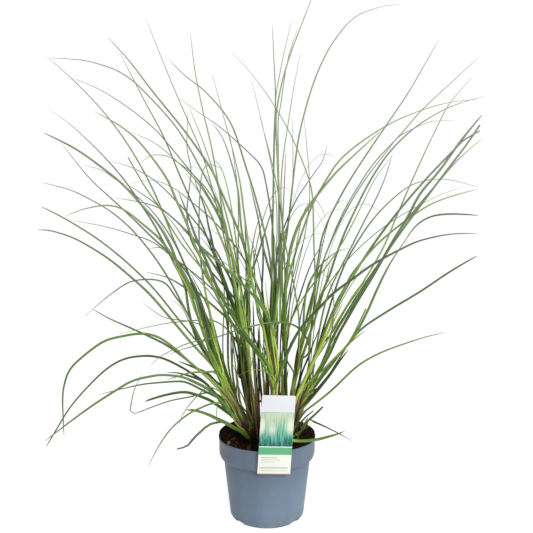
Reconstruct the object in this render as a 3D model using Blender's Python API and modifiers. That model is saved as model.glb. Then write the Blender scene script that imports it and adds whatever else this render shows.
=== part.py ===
"""Potted pampas grass: a young clump in a tapered nursery pot, with a plant label on the rim.

Run with: blender --background --python part.py

The frame is the pot's own: metres, +Z up, origin at the centre of the pot's base, and the
label at the front, towards -Y.
"""

import math

import bmesh
import bpy
from mathutils import Matrix, Vector, noise

MM = 0.001
GAP = 0.3 * MM

# The pot: the common 19 cm, 3 litre container.
RIM_RADIUS = 95.9 * MM
POT_HEIGHT = 154.0 * MM
WALL = 1.8 * MM
LIP_HEIGHT = 3.0 * MM
COLLAR_RADIUS = 95.1 * MM
COLLAR_FOOT_HEIGHT = 114.0 * MM
COLLAR_FOOT_RADIUS = 86.4 * MM
BASE_RADIUS = 73.1 * MM
BASE_CORNER = 9.4 * MM
INNER_CORNER = 14.0 * MM
FLOOR_THICKNESS = 3.0 * MM
POT_STEPS = 48

# Drain slots, cut in four groups through a recess in the base corner.
DRAIN_ANGLES = (42, 138, 222, 318)
DRAIN_GROUP_WIDTH = 22 * MM
DRAIN_RECESS = 2.4 * MM
SLOTS_PER_GROUP = 4
SLOT_WIDTH = 3.4 * MM

# The soil: its crown and its edge, over the rim at the sides and the back, under it in front.
SOIL_FLOOR = 22 * MM
SOIL_CROWN = POT_HEIGHT + 11 * MM
SOIL_RISE_TO_BACK = 0.11
SOIL_SIDE_EDGE = POT_HEIGHT + 8 * MM
SOIL_FRONT_EDGE = POT_HEIGHT - 3 * MM
SOIL_SIDE_RADIUS = 96.6 * MM
SOIL_FRONT_RADIUS = 91.2 * MM
SOIL_ROUGHNESS = 1.6 * MM
SOIL_STEPS = 36
# The plug's rings inside the pot, as radius and height, from the floor up.
SOIL_PLUG = ((0, SOIL_FLOOR), (64 * MM, SOIL_FLOOR), (81 * MM, COLLAR_FOOT_HEIGHT),
             (90.2 * MM, COLLAR_FOOT_HEIGHT + 14 * MM), (91.2 * MM, POT_HEIGHT - 7 * MM))
# The rings of its open top inside the brim, as shares of its radius.
SOIL_TOP_SHARES = (0.97, 0.88, 0.74, 0.58, 0.4, 0.2, 0)

# The plant label: a card that leans forward from the collar, with a tongue over the rim.
LABEL_WIDTH = 62 * MM
LABEL_HEIGHT = 153 * MM
LABEL_THICKNESS = 0.8 * MM
LABEL_CORNER = 2 * MM
LABEL_ACROSS = Vector((60.7, 6.0, -2.8)).normalized()
LABEL_UP = Vector((11.3, -24.5, 150.4)).normalized()
LABEL_MIDDLE = Vector((16.9, -104.5, 187.4)) * MM
TONGUE_WIDTH = 16 * MM
# The tongue's side view, in millimetres up the card and out from it, and the two corners of
# the slot that its end takes in the soil.
TONGUE_SIDE = ((-16, 0), (-24, -1.2), (-30, -4.0), (-33, -7.0), (-35.5, -8.8), (-40, -9.2), (-58, -9.2))
TONGUE_SLOT = ((-64, -10.1), (-8, -6.5))

# Blades and shoots are laid out as they are seen from a point in front of the pot: x and z in
# millimetres on the upright plane through the pot's axis, and y for how far in front of that
# plane (-) or behind it (+) they really are.
VIEW_DISTANCE = 1100
VIEW_HEIGHT = 503
BLADE_POINTS = 14
SHOOT_POINTS = 6
DEPTH_BEND = 1.2
SHOOT_SECTION = ((6.0, 0), (4.2, 2.9), (0, 4.2), (-4.2, 2.9),
                 (-6.0, 0), (-4.2, -2.9), (0, -4.2), (4.2, -2.9))
BLADE_SECTION = ((-1.0, 0.22), (0, 0.09), (1.0, 0.22), (0, -0.14))
SHOOT_FACE = 4.2
SHOOT_TAPER = 0.3
SHOOT_FOOT_CLEARANCE = 4.2 * MM
BLADE_FOOT = 0.45
LAYER = 2.0

# Each shoot: its size (1 is 12 mm wide), y at its foot and its top, and its route upwards.
SHOOTS = (
    (1.00, -30, -40, ((-36, 150), (-50, 171), (-66, 205), (-82, 236), (-91, 266))),
    (0.75, 6, 4, ((-25, 160), (-40, 187), (-56, 212), (-70, 240))),
    (1.00, 26, 36, ((-30, 170), (-36, 226), (-42, 265), (-46, 320), (-51, 352))),
    (0.80, -4, -12, ((-19, 162), (-25, 226), (-33, 265), (-38, 325))),
    (0.85, 16, 20, ((-3, 170), (0, 245), (4, 325))),
    (1.00, -22, -30, ((15, 160), (13, 245), (14, 325), (16, 386))),
    (0.95, 8, 10, ((42, 170), (52, 255), (62, 310), (68, 340))),
    (0.85, 46, 54, ((28, 182), (36, 245), (36, 325))),
    (0.95, 4, 0, ((57, 166), (61, 187), (69, 215), (80, 237), (90, 257))),
    (0.75, 36, 46, ((52, 178), (66, 225), (86, 285), (96, 312))),
    (0.55, -20, -26, ((60, 152), (70, 168), (82, 190))),
    (0.90, 60, 84, ((0, 184), (-6, 260), (-14, 330))),
)

# Each blade: its shoot, its half width at the widest, y at its tip, how many degrees its face has
# turned up by there, and its route from the foot to the tip.
BLADES = (
    (1, 5.2, -60, 42, ((-91, 262), (-108, 291), (-150, 337), (-194, 389), (-234, 435), (-270, 468),
                       (-311, 502), (-352, 529), (-392, 550), (-434, 563), (-458, 565))),
    (1, 4.2, 60, 30, ((-88, 262), (-110, 301), (-134, 335), (-174, 383), (-224, 445), (-270, 491),
                       (-315, 529), (-354, 557), (-407, 589), (-452, 612))),
    (1, 4.2, -130, 36, ((-84, 250), (-125, 330), (-158, 395), (-198, 469), (-233, 521), (-272, 567),
                        (-313, 602), (-352, 625), (-394, 645), (-450, 660))),
    (2, 3.6, 110, 30, ((-66, 230), (-105, 310), (-150, 400), (-190, 490), (-234, 589), (-284, 663),
                       (-333, 719), (-392, 775), (-436, 806))),
    (1, 5.0, -190, 40, ((-86, 262), (-124, 345), (-154, 425), (-188, 521), (-217, 575), (-254, 618),
                        (-290, 657), (-327, 687), (-382, 726), (-446, 759))),
    (2, 4.0, 50, 35, ((-62, 222), (-92, 300), (-126, 400), (-162, 489), (-188, 549), (-215, 616),
                      (-245, 679), (-286, 747), (-333, 808), (-388, 865), (-440, 911))),
    (3, 4.2, -150, 38, ((-50, 345), (-62, 460), (-80, 561), (-96, 614), (-127, 677), (-180, 768),
                        (-252, 848), (-293, 880), (-334, 896), (-372, 905), (-436, 909))),
    (3, 3.8, 200, 34, ((-48, 330), (-64, 460), (-84, 569), (-135, 659), (-188, 725), (-225, 767),
                       (-274, 807), (-333, 845), (-391, 870))),
    (4, 5.4, -70, 45, ((-37, 318), (-35, 430), (-34, 515), (-51, 561), (-80, 622), (-112, 687),
                       (-156, 751), (-194, 799), (-233, 847), (-274, 901), (-318, 950))),
    (6, 5.6, -260, 40, ((10, 262), (-18, 309), (-54, 365), (-78, 395), (-108, 465), (-144, 545),
                        (-174, 609), (-204, 673), (-254, 739), (-294, 773), (-345, 802))),
    (2, 4.0, 270, 32, ((-60, 216), (-66, 330), (-76, 467), (-102, 521), (-141, 604), (-174, 673),
                       (-207, 752), (-244, 821), (-268, 868), (-294, 918))),
    (3, 3.6, 110, 36, ((-46, 318), (-60, 420), (-88, 560), (-124, 699), (-150, 765), (-178, 829),
                       (-211, 909), (-242, 988))),
    (5, 4.4, -340, 40, ((3, 300), (10, 420), (10, 508), (-4, 565), (-21, 623), (-41, 687),
                        (-74, 781), (-127, 845), (-158, 868), (-196, 905))),
    (3, 3.6, -170, 32, ((-49, 340), (-58, 400), (-72, 490), (-88, 592), (-98, 659), (-112, 735),
                        (-129, 807), (-144, 883), (-153, 958))),
    (6, 3.8, 390, 30, ((15, 370), (14, 500), (10, 581), (-4, 667), (-14, 695), (-35, 718),
                       (-92, 769), (-135, 799), (-177, 829))),
    (7, 4.2, -320, 40, ((66, 315), (84, 385), (96, 459), (94, 531), (92, 611), (88, 651),
                        (69, 707), (40, 770), (6, 827), (-33, 880), (-70, 919))),
    (5, 3.8, -40, 34, ((4, 318), (7, 420), (11, 499), (10, 541), (12, 623), (14, 749), (17, 831),
                      (13, 923), (11, 976))),
    (6, 4.6, -40, 40, ((16, 380), (22, 440), (24, 499), (24, 625), (21, 705), (18, 785), (26, 841),
                       (43, 905), (67, 970), (94, 1040))),
    (8, 3.6, 200, 32, ((36, 300), (31, 430), (25, 600), (22, 769), (26, 805), (34, 862),
                       (44, 915), (63, 972))),
    (7, 4.6, -380, 38, ((64, 300), (64, 385), (53, 459), (38, 531), (30, 591), (28, 645),
                        (32, 707), (42, 776), (52, 841), (66, 917))),
    (8, 4.2, 60, 36, ((37, 318), (32, 410), (30, 489), (36, 531), (44, 591), (60, 729), (76, 803),
                      (98, 872), (126, 931), (156, 971), (182, 995), (236, 1013), (266, 1016))),
    (2, 3.4, 90, 30, ((-67, 238), (-104, 360), (-124, 447), (-134, 521), (-136, 585), (-133, 653),
                      (-128, 684), (-114, 697), (-88, 685))),
    (1, 4.4, -80, 34, ((-84, 240), (-114, 267), (-154, 299), (-184, 327), (-220, 351), (-254, 357),
                       (-294, 351), (-328, 341), (-368, 312), (-394, 286), (-405, 258), (-409, 225),
                       (-406, 153))),
    (2, 3.8, 130, 30, ((-66, 226), (-90, 244), (-134, 273), (-174, 295), (-214, 310), (-244, 313),
                      (-284, 307), (-320, 287), (-360, 249), (-394, 209), (-420, 167), (-442, 131))),
    (1, 3.8, -200, 34, ((-74, 222), (-100, 236), (-134, 249), (-168, 265), (-204, 274), (-224, 273),
                        (-268, 263), (-300, 245), (-344, 217), (-386, 187), (-444, 143))),
    (1, 3.8, 240, 36, ((-88, 258), (-120, 280), (-154, 299), (-198, 333), (-238, 353), (-278, 371),
                        (-318, 389), (-349, 407))),
    (4, 4.2, -340, 38, ((-34, 280), (-70, 330), (-122, 372), (-160, 405), (-188, 440), (-211, 462),
                        (-238, 466), (-276, 460), (-314, 435), (-348, 407), (-364, 393))),
    (1, 4.0, 170, 34, ((-64, 200), (-78, 208), (-114, 220), (-154, 237), (-176, 241), (-204, 234),
                        (-248, 219))),
    (1, 3.8, -160, 32, ((-68, 212), (-98, 224), (-126, 222), (-154, 203), (-188, 175), (-218, 135),
                        (-238, 91))),
    (1, 4.8, -120, 36, ((-46, 164), (-57, 169), (-78, 177), (-96, 186), (-120, 194), (-144, 203),
                        (-166, 205))),
    (6, 5.6, -150, 40, ((22, 262), (40, 315), (66, 365), (102, 405), (132, 437), (170, 465),
                        (202, 489), (232, 507), (266, 525), (306, 543), (366, 556), (422, 558))),
    (9, 4.8, -210, 36, ((84, 243), (112, 276), (136, 305), (162, 335), (192, 369), (246, 405),
                        (306, 441), (366, 481), (420, 513))),
    (9, 4.2, 250, 34, ((64, 196), (82, 208), (128, 244), (176, 289), (214, 313), (254, 330),
                      (314, 350), (355, 360))),
    (9, 5.2, -50, 38, ((91, 256), (108, 310), (126, 349), (156, 391), (186, 441), (216, 485),
                       (246, 529), (276, 579), (350, 669), (386, 709), (430, 748))),
    (10, 4.0, 110, 32, ((94, 306), (140, 352), (180, 415), (216, 480), (250, 540), (280, 589),
                        (306, 637), (346, 685), (386, 741), (430, 795))),
    (7, 4.8, 40, 36, ((67, 330), (84, 375), (108, 430), (128, 475), (156, 559), (180, 613), (206, 663),
                      (236, 709), (266, 743), (306, 777), (366, 811), (432, 832))),
    (8, 4.0, 170, 32, ((36, 310), (40, 400), (46, 479), (67, 555), (92, 618), (126, 677), (146, 705),
                       (186, 739), (246, 777), (306, 803), (366, 820), (420, 826))),
    (10, 4.2, 195, 34, ((92, 300), (150, 402), (212, 493), (236, 537), (256, 585), (286, 655),
                        (316, 721), (342, 775), (366, 819), (412, 872))),
    (7, 3.8, -130, 34, ((68, 336), (80, 390), (100, 480), (126, 591), (152, 641), (180, 687),
                        (216, 741), (246, 785), (286, 845), (326, 915), (344, 946))),
    (9, 4.2, -150, 36, ((88, 250), (84, 330), (100, 430), (122, 525), (142, 577), (162, 617),
                        (186, 657), (216, 701), (270, 759), (306, 801), (346, 839), (424, 911))),
    (9, 4.6, -300, 38, ((90, 254), (96, 310), (110, 390), (126, 445), (166, 525), (194, 581),
                        (216, 623), (236, 669), (251, 718))),
    (10, 4.0, 250, 32, ((95, 308), (116, 380), (136, 445), (156, 497), (182, 543), (216, 591),
                        (256, 631), (290, 655), (326, 665), (366, 665), (424, 650))),
    (9, 4.8, -340, 38, ((86, 246), (130, 300), (170, 345), (198, 395), (222, 449), (246, 497),
                        (276, 543), (298, 573), (328, 591), (366, 596), (422, 594))),
    (11, 4.0, -62, 34, ((66, 160), (84, 164), (110, 168), (132, 172), (156, 182))),
    (12, 4.0, 410, 30, ((-13, 320), (-60, 420), (-110, 480), (-150, 540), (-160, 601), (-152, 683),
                        (-160, 729), (-158, 803))),
)

POT_BLUE_GREY = (0.195, 0.262, 0.345)
SOIL_BLACK_BROWN = (0.018, 0.012, 0.009)
CARD_WHITE = (0.85, 0.84, 0.80)
SHEATH_PURPLE_BROWN = (0.13, 0.07, 0.055)
BLADE_GREEN = (0.10, 0.20, 0.055)


def clear_scene():
    for obj in list(bpy.data.objects):
        bpy.data.objects.remove(obj, do_unlink=True)


def new_collection(name, hidden=False):
    collection = bpy.data.collections.new(name)
    collection.hide_render = hidden
    bpy.context.scene.collection.children.link(collection)
    return collection


def new_material(name, colour, roughness):
    material = bpy.data.materials.new(name)
    material.use_nodes = True
    shader = material.node_tree.nodes["Principled BSDF"]
    shader.inputs["Base Color"].default_value = (*colour, 1)
    shader.inputs["Roughness"].default_value = roughness
    shader.inputs["Metallic"].default_value = 0
    return material


def add_object(name, data, collection, material=None):
    obj = bpy.data.objects.new(name, data)
    collection.objects.link(obj)
    if material:
        obj.data.materials.append(material)
    return obj


def make_guide(obj):
    """A cutter, which shapes other pieces and is no piece itself."""
    obj.hide_render = True
    obj.display_type = "WIRE"


def mesh_from(bm, name):
    mesh = bpy.data.meshes.new(name)
    bm.to_mesh(mesh)
    bm.free()
    return mesh


def smooth(obj, degrees=40):
    obj.data.shade_smooth()
    obj.data.set_sharp_from_angle(angle=math.radians(degrees))


def seen_from_front(x, z, y):
    """The point that is seen at x, z on the plane through the pot's axis, and lies at y."""
    share = (VIEW_DISTANCE + y) / VIEW_DISTANCE
    return Vector((x * share, y, VIEW_HEIGHT + (z - VIEW_HEIGHT) * share)) * MM


def curve_through(points, share):
    """A point of the smooth (Catmull-Rom) curve through points, at a share of its point count."""
    place = share * (len(points) - 1)
    i = min(int(place), len(points) - 2)
    t = place - i
    before, a, b, after = (Vector(points[max(0, min(j, len(points) - 1))]) for j in range(i - 1, i + 3))
    return 0.5 * (2 * a + (b - before) * t + (2 * before - 5 * a + 4 * b - after) * t ** 2
                  + (3 * a - before - 3 * b + after) * t ** 3)


def evenly_along(points, count):
    """count points of the smooth curve through points, equally far apart along it."""
    fine = [curve_through(points, i / 200) for i in range(201)]
    reached = [0.0]
    for a, b in zip(fine, fine[1:]):
        reached.append(reached[-1] + (b - a).length)
    even = []
    i = 0
    for k in range(count):
        wanted = reached[-1] * k / (count - 1)
        while i < 199 and reached[i + 1] < wanted:
            i += 1
        even.append(fine[i].lerp(fine[i + 1], (wanted - reached[i]) / (reached[i + 1] - reached[i])))
    return even


def rounded_corner(radius, height, corner, angles):
    """Points of a corner of the section, drawn about radius, height."""
    points = []
    for degrees in angles:
        angle = math.radians(degrees)
        points.append((radius + corner * math.cos(angle), height + corner * math.sin(angle)))
    return points


def wall_profile():
    """Half of the pot's section, from the middle of its inner floor, over the rim and down."""
    inner = BASE_RADIUS - WALL - INNER_CORNER
    foot = COLLAR_FOOT_HEIGHT
    points = [(0, FLOOR_THICKNESS)]
    points += rounded_corner(inner, FLOOR_THICKNESS + INNER_CORNER, INNER_CORNER, (-90, -60, -30, -5))
    points += [
        (COLLAR_FOOT_RADIUS - WALL - 0.6 * MM, foot + 1 * MM),
        (COLLAR_RADIUS - WALL - 3.2 * MM, foot + 7 * MM),
        (COLLAR_RADIUS - WALL, foot + 17 * MM),
        (COLLAR_RADIUS - WALL, POT_HEIGHT - 0.6 * MM),
        (COLLAR_RADIUS - WALL + 0.6 * MM, POT_HEIGHT),
        (RIM_RADIUS - 0.8 * MM, POT_HEIGHT),
        (RIM_RADIUS, POT_HEIGHT - 0.9 * MM),
        (RIM_RADIUS, POT_HEIGHT - LIP_HEIGHT),
        (COLLAR_RADIUS, POT_HEIGHT - LIP_HEIGHT - 1 * MM),
        (COLLAR_RADIUS, foot + 17 * MM),
        (COLLAR_RADIUS - 0.8 * MM, foot + 10 * MM),
        (COLLAR_RADIUS - 3.0 * MM, foot + 4.5 * MM),
        (COLLAR_FOOT_RADIUS + 2 * MM, foot + 0.8 * MM),
        (COLLAR_FOOT_RADIUS, foot),
        (COLLAR_FOOT_RADIUS - 0.6 * MM, foot - 0.8 * MM),
    ]
    points += rounded_corner(BASE_RADIUS - BASE_CORNER, BASE_CORNER, BASE_CORNER, (0, -20, -40, -60, -90))
    points.append((0, 0))
    return points


def add_boxes(name, boxes, collection):
    """One cutter object of separate boxes, each given as its matrix and its size."""
    bm = bmesh.new()
    for matrix, size in boxes:
        bmesh.ops.create_cube(bm, size=1, matrix=matrix @ Matrix.Diagonal((*size, 1)))
    cutter = add_object(name, mesh_from(bm, name), collection)
    make_guide(cutter)
    return cutter


def cut(obj, cutter):
    modifier = obj.modifiers.new(cutter.name, "BOOLEAN")
    modifier.operation = "DIFFERENCE"
    modifier.solver = "EXACT"
    modifier.object = cutter


def drain_cutters(collection):
    """The recesses in the base corner, and the slots that go through them."""
    diagonal = math.radians(45)
    corner = BASE_RADIUS - BASE_CORNER + BASE_CORNER * math.cos(diagonal)
    height = BASE_CORNER - BASE_CORNER * math.sin(diagonal)
    recesses = []
    slots = []
    for degrees in DRAIN_ANGLES:
        turn = Matrix.Rotation(math.radians(degrees), 4, "Z")
        tip = Matrix.Translation((corner, 0, height)) @ Matrix.Rotation(diagonal, 4, "Y")
        recess_size = (12 * MM, DRAIN_GROUP_WIDTH, 26 * MM)
        out = Matrix.Translation((6 * MM - DRAIN_RECESS, 0, 0))
        recesses.append((turn @ tip @ out, recess_size))
        pitch = DRAIN_GROUP_WIDTH / SLOTS_PER_GROUP
        for k in range(SLOTS_PER_GROUP):
            along = (k - (SLOTS_PER_GROUP - 1) / 2) * pitch
            slots.append((turn @ tip @ Matrix.Translation((0, along, 0)), (14 * MM, SLOT_WIDTH, 7 * MM)))
    return (add_boxes("drain_recess_cutter", recesses, collection),
            add_boxes("drain_slot_cutter", slots, collection))


def add_pot(parts, cutters):
    mesh = bpy.data.meshes.new("pot")
    profile = [(r, 0, z) for r, z in wall_profile()]
    mesh.from_pydata(profile, [(i, i + 1) for i in range(len(profile) - 1)], [])
    pot = add_object("pot", mesh, parts, new_material("moulded blue-grey plastic", POT_BLUE_GREY, 0.5))
    screw = pot.modifiers.new("turn", "SCREW")
    screw.axis = "Z"
    screw.steps = POT_STEPS
    screw.render_steps = POT_STEPS
    screw.use_merge_vertices = True
    screw.merge_threshold = 0.00001
    for cutter in drain_cutters(cutters):
        cut(pot, cutter)
    return pot


def front_share(x, y):
    """0 at the sides and the back of the pot, rising to 1 at its front."""
    facing = -y / max(math.hypot(x, y), MM)
    return min(1, max(0, facing * 1.5 - 0.1)) ** 0.7


def soil_radius(front):
    """The soil draws in from the rim's lip before it sinks below it."""
    return SOIL_SIDE_RADIUS + (SOIL_FRONT_RADIUS - SOIL_SIDE_RADIUS) * min(1, front / 0.45)


def soil_sink(front):
    return max(0, (front - 0.5) / 0.5)


def soil_height(x, y):
    front = front_share(x, y)
    edge = SOIL_SIDE_EDGE + (SOIL_FRONT_EDGE - SOIL_SIDE_EDGE) * soil_sink(front)
    radius = soil_radius(front)
    out = min(1, math.hypot(x, y) / radius)
    lumps = noise.noise(Vector((x, y, 0)) / (13 * MM)) * SOIL_ROUGHNESS
    heap = (SOIL_CROWN - edge) * (1 - out ** 2.2) + SOIL_RISE_TO_BACK * y * (1 - out ** 4)
    return edge + heap + lumps * (1 - out ** 6)


def soil_top_place(ring, x, y):
    """A point of the open top: ring 0 is its neck, 1 its brim, and the rest run in to the crown."""
    around = Vector((x, y)).normalized()
    front = front_share(x, y)
    sink = soil_sink(front)
    over_rim = POT_HEIGHT + 2 * GAP
    if ring == 0:
        radius = SOIL_FRONT_RADIUS
        height = over_rim + (SOIL_FRONT_EDGE - 3 * MM - over_rim) * sink
    elif ring == 1:
        ragged = noise.noise(Vector((x, y, 0)) / (9 * MM)) * 0.8 * MM
        radius = soil_radius(front) + ragged * (1 - front)
        height = over_rim + (SOIL_FRONT_EDGE - 1.5 * MM - over_rim) * sink
    else:
        radius = soil_radius(front) * SOIL_TOP_SHARES[ring - 2]
        height = soil_height(around.x * radius, around.y * radius)
    return around.x * radius, around.y * radius, height


def add_soil(parts, cutters, slot):
    """A turned plug that fills the pot, its open top heaped up, with a slot for the label's tongue."""
    bm = bmesh.new()
    ring_layer = bm.verts.layers.int.new("ring")
    top = [(SOIL_SIDE_RADIUS * share, POT_HEIGHT) for share in (0.95, 1.0, *SOIL_TOP_SHARES)]
    chain = []
    for ring, (radius, height) in enumerate((*SOIL_PLUG, *top)):
        vert = bm.verts.new((radius, 0, height))
        vert[ring_layer] = ring
        chain.append(vert)
    edges = [bm.edges.new(pair) for pair in zip(chain, chain[1:])]
    bmesh.ops.spin(bm, geom=chain + edges, cent=(0, 0, 0), axis=(0, 0, 1), dvec=(0, 0, 0),
                   angle=2 * math.pi, steps=SOIL_STEPS, use_merge=True, use_duplicate=False)
    bmesh.ops.remove_doubles(bm, verts=bm.verts, dist=0.00001)
    for vert in bm.verts:
        ring = vert[ring_layer] - len(SOIL_PLUG)
        if ring >= 0:
            vert.co = soil_top_place(ring, vert.co.x, vert.co.y)
    bmesh.ops.recalc_face_normals(bm, faces=bm.faces)
    compost = new_material("potting soil", SOIL_BLACK_BROWN, 0.9)
    soil = add_object("soil", mesh_from(bm, "soil"), parts, compost)
    cut(soil, add_boxes("tongue_slot_cutter", [slot], cutters))
    return soil


def label_frame():
    """The card's own axes: across, up and towards the viewer, with its middle as the origin."""
    across = LABEL_ACROSS
    up = (LABEL_UP - across * LABEL_UP.dot(across)).normalized()
    outward = across.cross(up)
    lean = math.hypot(outward.x, outward.y)
    touch = max(r * lean + outward.z * z for r, z in wall_profile() if z > COLLAR_FOOT_HEIGHT)
    middle = LABEL_MIDDLE + outward * (touch + GAP + LABEL_THICKNESS / 2 - LABEL_MIDDLE.dot(outward))
    frame = Matrix((across, up, outward)).transposed().to_4x4()
    frame.translation = middle
    return frame


def add_label(parts, cutters, frame):
    """The card with rounded corners, joined to the tongue that hooks over the rim."""
    bm = bmesh.new()
    bmesh.ops.create_cube(bm, size=1, matrix=Matrix.Diagonal((LABEL_WIDTH, LABEL_HEIGHT, LABEL_THICKNESS, 1)))
    corners = [e for e in bm.edges if abs(e.verts[0].co.z - e.verts[1].co.z) > LABEL_THICKNESS / 2]
    bmesh.ops.bevel(bm, geom=corners, offset=LABEL_CORNER, segments=3, profile=0.5, affect="EDGES")
    bm.transform(frame)
    card = new_material("printed plastic card", CARD_WHITE, 0.35)
    label = add_object("plant_label", mesh_from(bm, "plant_label"), parts, card)

    bm = bmesh.new()
    chain = [bm.verts.new((-TONGUE_WIDTH / 2, up * MM, out * MM)) for up, out in TONGUE_SIDE]
    edges = [bm.edges.new(pair) for pair in zip(chain, chain[1:])]
    wide = bmesh.ops.extrude_edge_only(bm, edges=edges)["geom"]
    moved = [v for v in wide if isinstance(v, bmesh.types.BMVert)]
    bmesh.ops.translate(bm, verts=moved, vec=(TONGUE_WIDTH, 0, 0))
    bmesh.ops.recalc_face_normals(bm, faces=bm.faces)
    bm.transform(frame)
    tongue = add_object("label_tongue", mesh_from(bm, "label_tongue"), cutters)
    make_guide(tongue)
    thick = tongue.modifiers.new("thickness", "SOLIDIFY")
    thick.thickness = LABEL_THICKNESS
    thick.offset = 0
    joined = label.modifiers.new("tongue", "BOOLEAN")
    joined.operation = "UNION"
    joined.solver = "EXACT"
    joined.object = tongue
    return label


def tongue_slot(frame):
    """The slot in the soil that the tongue's end stands in, as its place and its size."""
    (low, back), (high, front) = TONGUE_SLOT
    size = (TONGUE_WIDTH + 2 * MM, (high - low) * MM, (front - back) * MM)
    middle = Matrix.Translation((0, (low + high) / 2 * MM, (back + front) / 2 * MM))
    return frame @ middle, size


def add_stalk(name, places, sizes, faces, section, parts, material):
    """A solid through places: the section at each, its x across the stalk and its y along the face."""
    bm = bmesh.new()
    rings = []
    for i, (place, size, face) in enumerate(zip(places, sizes, faces)):
        along = (places[min(i + 1, len(places) - 1)] - places[max(i - 1, 0)]).normalized()
        face = (face - along * face.dot(along)).normalized()
        across = along.cross(face)
        rings.append([bm.verts.new(place + (across * x + face * y) * size * MM) for x, y in section])
    for low, high in zip(rings, rings[1:]):
        for j in range(len(section)):
            k = (j + 1) % len(section)
            bm.faces.new((low[j], low[k], high[k], high[j]))
    bm.faces.new(rings[0])
    bm.faces.new(rings[-1])
    bmesh.ops.recalc_face_normals(bm, faces=bm.faces)
    return add_object(name, mesh_from(bm, name), parts, material)


def shoot_places(shoot):
    size, y_foot, y_top, route = SHOOTS[shoot - 1]
    route = [Vector((x, z)) for x, z in route]
    places = []
    for i, point in enumerate(evenly_along(route, SHOOT_POINTS)):
        y = y_foot + (y_top - y_foot) * i / (SHOOT_POINTS - 1)
        places.append(seen_from_front(point.x, point.y, y))
    foot = places[0]
    foot.z = soil_height(foot.x, foot.y) + SHOOT_FOOT_CLEARANCE
    return places, size


def shoot_depth_at(shoot, z):
    """How far behind the axis plane a shoot's middle is, where it is seen at height z."""
    _, y_foot, y_top, route = SHOOTS[shoot - 1]
    low = route[0][1]
    high = route[-1][1]
    share = min(1, max(0, (z - low) / (high - low)))
    return y_foot + (y_top - y_foot) * share


def layer_of(number):
    """How many blades lie between this one and the face of its shoot: those that reach less far."""
    shoot, _, y_tip, _, route = BLADES[number - 1]
    reach = y_tip - shoot_depth_at(shoot, route[0][1])
    inner = 0
    for other_shoot, _, other_tip, _, other_route in BLADES:
        other = other_tip - shoot_depth_at(other_shoot, other_route[0][1])
        if other_shoot == shoot and other * reach > 0 and abs(other) < abs(reach):
            inner += 1
    return inner


def blade_places(number):
    """The blade's middle line: off the face of its shoot, then out to the depth of its tip."""
    shoot, half_width, y_tip, _, route = BLADES[number - 1]
    y_shoot = shoot_depth_at(shoot, route[0][1])
    side = 1 if y_tip > y_shoot else -1
    stand_off = SHOOT_FACE * SHOOTS[shoot - 1][0] + BLADE_FOOT * half_width + LAYER * layer_of(number)
    y_foot = y_shoot + side * stand_off
    places = []
    for i, point in enumerate(evenly_along([Vector(p) for p in route], BLADE_POINTS)):
        share = (i / (BLADE_POINTS - 1)) ** DEPTH_BEND
        places.append(seen_from_front(point.x, point.y, y_foot + (y_tip - y_foot) * share))
    return places


def blade_width(share):
    """1 at the widest, a little less at the foot, and drawn out to a fine tip."""
    foot = BLADE_FOOT + (1 - BLADE_FOOT) * min(1, share / 0.2)
    return foot * max(0.1, (1 - share ** 2.4) ** 0.9)


def blade_faces(number, places):
    """Where the blade's hollow face looks: at its shoot from the foot, and turned up towards the tip."""
    shoot, _, y_tip, turn, route = BLADES[number - 1]
    inward = -1 if y_tip > shoot_depth_at(shoot, route[0][1]) else 1
    faces = []
    for i in range(len(places)):
        angle = math.radians(turn) * i / (len(places) - 1)
        faces.append(Vector((0, inward * math.cos(angle), math.sin(angle))))
    return faces


def add_grass(parts):
    sheath = new_material("leaf sheath", SHEATH_PURPLE_BROWN, 0.55)
    green = new_material("grass blade", BLADE_GREEN, 0.5)
    for number in range(1, len(SHOOTS) + 1):
        places, size = shoot_places(number)
        sizes = [size * (1 - SHOOT_TAPER * i / (SHOOT_POINTS - 1)) for i in range(SHOOT_POINTS)]
        faces = [Vector((0, 1, 0))] * SHOOT_POINTS
        add_stalk(f"shoot_{number:02d}", places, sizes, faces, SHOOT_SECTION, parts, sheath)
    for number, (_, half_width, _, _, _) in enumerate(BLADES, 1):
        places = blade_places(number)
        sizes = [half_width * blade_width(i / (BLADE_POINTS - 1)) for i in range(BLADE_POINTS)]
        faces = blade_faces(number, places)
        add_stalk(f"leaf_{number:02d}", places, sizes, faces, BLADE_SECTION, parts, green)


def main():
    clear_scene()
    parts = new_collection("potted_pampas_grass")
    cutters = new_collection("cutters", hidden=True)
    add_pot(parts, cutters)
    frame = label_frame()
    add_label(parts, cutters, frame)
    add_soil(parts, cutters, tongue_slot(frame))
    add_grass(parts)
    smooth(parts.objects["pot"])
    smooth(parts.objects["soil"], 70)


main()
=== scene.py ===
"""Potted pampas grass: a young clump in its nursery pot, finished for a studio picture.

The frame is the pot's own, in metres: +Z up, the origin at the centre of the pot's base, and the
plant label at the front, towards -Y. Lengths in the tables are in millimetres.
"""

import math
import random

import bmesh
import bpy
from bpy.props import FloatProperty, FloatVectorProperty, IntProperty, PointerProperty
from mathutils import Matrix, Vector, noise


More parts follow.
